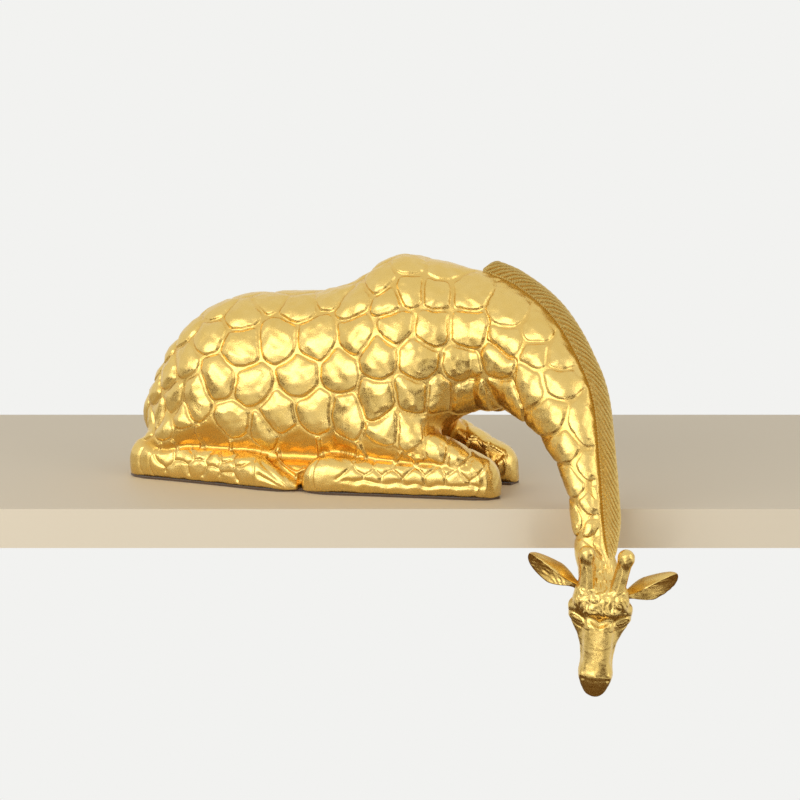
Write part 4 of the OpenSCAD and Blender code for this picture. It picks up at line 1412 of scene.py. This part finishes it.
# ---------------------------------------------------------------- finishes


def colour(code: str) -> tuple:
    """Turns an sRGB hex value into linear light."""
    parts = [int(code[i : i + 2], 16) / 255 for i in (1, 3, 5)]
    return tuple(c / 12.92 if c <= 0.04045 else ((c + 0.055) / 1.055) ** 2.4 for c in parts) + (1.0,)


def feed(tree: bpy.types.NodeTree, node: bpy.types.Node, links: dict) -> None:
    """Gives inputs of a node a value, or the output that feeds them.

    Args:
        tree: The node tree.
        node: The node.
        links: A value or an output for each input, named with _ for a space, or i0, i1 for a place.
    """
    for key, value in links.items():
        place = int(key[1:]) if key[0] == "i" and key[1:].isdigit() else key.replace("_", " ")
        socket = node.inputs[place]
        if isinstance(value, bpy.types.NodeSocket):
            tree.links.new(value, socket)
        else:
            socket.default_value = value


def add(tree: bpy.types.NodeTree, kind: str, settings: dict | None = None, **links: object) -> bpy.types.Node:
    """Adds a node.

    Args:
        tree: The node tree.
        kind: Type of the node, without ShaderNode.
        settings: Values of the node's own properties.
        **links: What its inputs are given.

    Returns:
        The node.
    """
    node = tree.nodes.new("ShaderNode" + kind)
    for key, value in (settings or {}).items():
        setattr(node, key, value)
    feed(tree, node, links)
    return node


def per_metre(millimetres: float) -> float:
    """Turns the size of a pattern's feature into a texture's scale on Object coordinates."""
    return 1000 / millimetres


@dataclass(frozen=True)
class Finish:
    """A finish, as one material that all its pieces share."""

    material_name = ""

    def shader(self) -> tuple:
        """Makes the material and gives it, its tree and its principled shader."""
        material = bpy.data.materials.new(self.material_name)
        material.use_nodes = True
        return material, material.node_tree, material.node_tree.nodes["Principled BSDF"]

    def make(self) -> bpy.types.Material:
        """Builds the material."""
        raise NotImplementedError

    def dress(self, piece: bpy.types.Object) -> None:
        """Gives the piece the finish."""
        piece.data.materials.append(bpy.data.materials.get(self.material_name) or self.make())


@dataclass(frozen=True)
class Gilding(Finish):
    """Gold leaf over gesso, burnished on the domes and left soft on the rest.

    The leaf is a metal. It is thin and uneven, so the eye sees a fine mottle, and a painted warm orange shade
    darkens it in the channels and hollows.
    """

    material_name = "gold_leaf_with_painted_shade"
    leaf: str = "#E2BC62"
    pale_leaf: str = "#EED084"
    # Colour of the painted warm shade in the channels and hollows.
    warm_shade: str = "#DCA23A"
    roughness: float = 0.27
    mottle_mm: float = 9.0
    grain_mm: float = 0.9

    def make(self) -> bpy.types.Material:
        """Builds the material: two noises mottle and roughen the leaf, and painted warm shade is mixed in
        where the attribute says the channels and hollows lie.

        Returns:
            The material.
        """
        material, tree, shader = self.shader()
        place = add(tree, "TexCoord").outputs["Object"]
        coarse, fine = per_metre(self.mottle_mm), per_metre(self.grain_mm)
        mottle = add(tree, "TexNoise", Vector=place, Scale=coarse, Detail=4.0, Roughness=0.6)
        grain = add(tree, "TexNoise", Vector=place, Scale=fine, Detail=3.0, Roughness=0.65)
        mottle, grain = mottle.outputs["Fac"], grain.outputs["Fac"]
        recess_shade = add(tree, "Attribute", {"attribute_name": "recess_shade"}).outputs["Fac"]
        leaf = add(tree, "Mix", RGBA, i0=mottle, i6=colour(self.leaf), i7=colour(self.pale_leaf))
        # Painted warm shade: an orange mixed into the leaf in the channels and hollows.
        deep = add(tree, "Math", {"operation": "MULTIPLY"}, i0=recess_shade, i1=0.7)
        base = add(tree, "Mix", RGBA, i0=deep.outputs[0], i6=leaf.outputs[2], i7=colour(self.warm_shade))
        low, high = self.roughness - 0.08, self.roughness + 0.14
        rough = add(tree, "MapRange", i0=grain, i1=0.3, i2=0.7, i3=low, i4=high)
        both = add(tree, "Math", {"operation": "MULTIPLY_ADD"}, i0=mottle, i1=2.0, i2=grain)
        bump = add(tree, "Bump", Strength=0.25, Distance=0.0004, Height=both.outputs[0])
        feed(tree, shader, {"Base Color": base.outputs[2], "Metallic": 1.0, "Roughness": rough.outputs[0],
                            "Normal": bump.outputs[0]})
        return material


@dataclass(frozen=True)
class BareBeech(Finish):
    """Planed beech without a finish: pale, matt, with fine grain along x and short dark flecks."""

    material_name = "planed_beech"
    wood: str = "#D8B88C"
    late_wood: str = "#C49C6C"
    fleck: str = "#8E6238"
    grain_mm: float = 2.5
    roughness: float = 0.6

    def make(self) -> bpy.types.Material:
        """Builds the material: noise stretched twelve times along the grain.

        Returns:
            The material.
        """
        material, tree, shader = self.shader()
        place = add(tree, "TexCoord").outputs["Object"]
        along = add(tree, "Mapping", Vector=place, Scale=(0.08, 1.0, 1.0)).outputs[0]
        grain = add(tree, "TexNoise", Vector=along, Scale=per_metre(self.grain_mm), Detail=4.0, Roughness=0.6)
        flecks = add(tree, "TexNoise", Vector=along, Scale=per_metre(self.grain_mm / 3), Detail=2.0)
        grain = grain.outputs["Fac"]
        rings = add(tree, "Mix", RGBA, i0=grain, i6=colour(self.wood), i7=colour(self.late_wood))
        spot = add(tree, "MapRange", i0=flecks.outputs["Fac"], i1=0.66, i2=0.74, i3=0.0, i4=0.6)
        base = add(tree, "Mix", RGBA, i0=spot.outputs[0], i6=rings.outputs[2], i7=colour(self.fleck))
        bump = add(tree, "Bump", Strength=0.2, Distance=0.0002, Height=grain)
        feed(tree, shader, {"Base Color": base.outputs[2], "Roughness": self.roughness,
                            "Normal": bump.outputs[0]})
        return material


@dataclass(frozen=True)
class ZincedSteel(Finish):
    """Zinc-plated steel screws: cool grey, half bright, with the plating's fine spangle."""

    material_name = "zinced_steel"
    bright: str = "#C9CDD2"
    dull: str = "#A3A8AE"
    spangle_mm: float = 1.2
    roughness: float = 0.32

    def make(self) -> bpy.types.Material:
        """Builds the material: a cellular spangle that varies the colour and the polish.

        Returns:
            The material.
        """
        material, tree, shader = self.shader()
        place = add(tree, "TexCoord").outputs["Object"]
        spangle = add(tree, "TexVoronoi", Vector=place, Scale=per_metre(self.spangle_mm)).outputs["Distance"]
        base = add(tree, "Mix", RGBA, i0=spangle, i6=colour(self.bright), i7=colour(self.dull))
        low, high = self.roughness, self.roughness + 0.2
        rough = add(tree, "MapRange", i0=spangle, i1=0.0, i2=1.0, i3=low, i4=high)
        feed(tree, shader, {"Base Color": base.outputs[2], "Metallic": 1.0, "Roughness": rough.outputs[0]})
        return material


@dataclass(frozen=True)
class FeltAsContactShadow(Finish):
    """Pressed felt, dull, with a pale bloom of fibre ends at a slant; its dark brown also paints the contact
    shadow line under the base.
    """

    material_name = "felt_with_painted_contact_shadow"
    # Dark brown that also paints the contact shadow line under the base.
    felt_shadow_brown: str = "#4A3828"
    fibre: str = "#6B5540"
    fibre_mm: float = 0.8
    roughness: float = 0.95

    def make(self) -> bpy.types.Material:
        """Builds the material: crossed fibres as noise, and sheen for their ends.

        Returns:
            The material.
        """
        material, tree, shader = self.shader()
        place = add(tree, "TexCoord").outputs["Object"]
        scale = per_metre(self.fibre_mm)
        fibres = add(tree, "TexNoise", Vector=place, Scale=scale, Detail=5.0, Roughness=0.7, Distortion=1.5)
        fibres = fibres.outputs["Fac"]
        base = add(tree, "Mix", RGBA, i0=fibres, i6=colour(self.felt_shadow_brown), i7=colour(self.fibre))
        bump = add(tree, "Bump", Strength=0.5, Distance=0.0004, Height=fibres)
        feed(tree, shader, {"Base Color": base.outputs[2], "Roughness": self.roughness, "Sheen Weight": 0.3,
                            "Normal": bump.outputs[0]})
        return material


# ---------------------------------------------------------------- stage


@dataclass
class Stage:
    """Pale shelf, soft lamps, dark cards and the camera."""

    camera_at: tuple = (0.3057, -0.776, 0.1636)
    camera_down: float = 7.36
    camera_turn: float = 18.0
    lens: float = 54.0
    shelf_edge: tuple = (78.6, -77.0, 0.0)
    aim: tuple = (0.05, 0.0, 0.05)
    soft_lamps: tuple = (
        # name, place, width, height, radiance
        ("key", (-0.45, -1.45, 0.5), 1.5, 0.8, 2.6),
        ("fill", (1.5, -0.5, 0.6), 0.8, 1.0, 1.3),
        ("nose_light", (0.38, -1.36, -0.75), 0.4, 0.5, 1.75))

    def camera(self) -> None:
        """Sets the camera up."""
        data = bpy.data.cameras.new("view")
        data.lens = self.lens
        data.sensor_width = 36.0
        data.clip_start = 0.01
        camera = placed("view", data)
        camera.location = self.camera_at
        camera.rotation_euler = (math.radians(90 - self.camera_down), 0, math.radians(self.camera_turn))
        bpy.context.scene.camera = camera

    def shelf(self) -> None:
        """Lays the shelf: a slab turned as the camera is, whose front edge runs under the neck."""
        along, back = spun(2, self.camera_turn).T[:2]
        spots = ((-700, 0), (700, 0), (700, 420), (-700, 420))
        corners = [(self.shelf_edge + right * along + inward * back) * MM for right, inward in spots]
        points = [(x, y, z) for z in (-0.025, 0.0) for x, y, _ in corners]
        sides = [(i, (i + 1) % 4, (i + 1) % 4 + 4, i + 4) for i in range(4)]
        mesh = bpy.data.meshes.new("shelf")
        mesh.from_pydata(points, [], [(3, 2, 1, 0), (4, 5, 6, 7)] + sides)
        mesh.materials.append(plain("pale_shelf", "#EADBC0", 0.6))
        placed("shelf", mesh)

    def lamps(self) -> None:
        """Hangs the soft lamps, which look at the aim."""
        for name, at, wide, high, radiance in self.soft_lamps:
            data = bpy.data.lights.new(name, "AREA")
            data.shape = "RECTANGLE"
            data.size, data.size_y = wide, high
            data.energy = math.pi * wide * high * radiance
            lamp = placed(name, data)
            lamp.location = at
            x, y, z = np.subtract(self.aim, at)
            lamp.rotation_euler = (math.atan2(math.hypot(x, y), -z), 0, math.atan2(y, x) - math.pi / 2)

    def surroundings(self) -> None:
        """Sets the pale surroundings, seen or mirrored at full strength and lighting at half."""
        world = bpy.data.worlds.new("studio")
        world.use_nodes = True
        bpy.context.scene.world = world
        tree = world.node_tree
        shown = tree.nodes["Background"]
        feed(tree, shown, {"i0": colour("#F2F2F0"), "i1": 1.0})
        light = add(tree, "Background", i0=colour("#FFFFFF"), i1=0.5)
        path = add(tree, "LightPath").outputs
        larger = {"operation": "MAXIMUM"}
        seen = add(tree, "Math", larger, i0=path["Is Camera Ray"], i1=path["Is Glossy Ray"])
        seen = add(tree, "Math", larger, i0=seen.outputs[0], i1=path["Is Transmission Ray"])
        mixed = add(tree, "MixShader", i0=seen.outputs[0], i1=light.outputs[0], i2=shown.outputs[0])
        feed(tree, tree.nodes["World Output"], {"i0": mixed.outputs[0]})

    def cards(self) -> None:
        """Sets dark cards below and beside the statue, which only the gold mirrors.

        They turn the sides that look down or to the right brown, as a room with its
        windows in front and on the left does.
        """
        material = plain("dark_card", "#785A36", 0.9)
        turns = np.linspace(0, 2 * np.pi, 64, endpoint=False)
        disc = [(0.95 * math.cos(a), 0.95 * math.sin(a), -0.6) for a in turns]
        right = [(0.62, -1.45, -0.5), (1.5, -0.5, -0.5), (1.5, -0.5, 0.2), (0.62, -1.45, 0.1)]
        left = [(-1.4, -0.6, -0.5), (-0.85, -1.35, -0.5), (-0.85, -1.35, 0.0), (-1.4, -0.6, 0.1)]
        for name, points in (("low_card", disc), ("right_card", right), ("left_card", left)):
            mesh = bpy.data.meshes.new(name)
            mesh.from_pydata(points, [], [tuple(range(len(points)))])
            mesh.materials.append(material)
            card = placed(name, mesh)
            card.visible_camera = card.visible_diffuse = card.visible_shadow = False

    def build(self) -> None:
        """Builds the whole stage."""
        self.camera()
        self.cards()
        self.shelf()
        self.lamps()
        self.surroundings()
        bpy.context.scene.view_settings.view_transform = "Standard"


def plain(name: str, code: str, roughness: float) -> bpy.types.Material:
    """Makes a material of one colour.

    Args:
        name: Name of the material.
        code: Its colour, as an sRGB hex value.
        roughness: Its roughness.

    Returns:
        The material.
    """
    material = bpy.data.materials.new(name)
    material.use_nodes = True
    tree = material.node_tree
    feed(tree, tree.nodes["Principled BSDF"], {"Base Color": colour(code), "Roughness": roughness})
    return material


def main() -> None:
    """Builds the stage and the giraffe in order."""
    logging.basicConfig(level=logging.INFO, format="%(message)s")
    Stage().build()
    gilding, beech = Gilding(), BareBeech()
    for part in (CarvedBody(), CarvedHead(), Mane(), Tail(),
                 Ear("left_ear", (14.5, 1, -8.5), 61, 58), Ear("right_ear", (-15.5, 1, -4.5), -61, -58),
                 Ossicone("left_ossicone", (8.3, -14.5, -5), 10),
                 Ossicone("right_ossicone", (-8.3, -14.5, -5), -4)):
        part.build(gilding)
    dressed = {"base_board": beech, "base_screws": ZincedSteel(), "neck_root_dowels": beech,
               "neck_dowel": beech, "head_dowel": beech, "leg_dowels": beech, "felt_sole": FeltAsContactShadow()}
    for name, finish in dressed.items():
        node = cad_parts[name]
        node.data.materials.clear()
        finish.dress(node)
        LOG.info("%s: dressed as %s", name, finish.material_name)


if __name__ == "__main__":
    main()
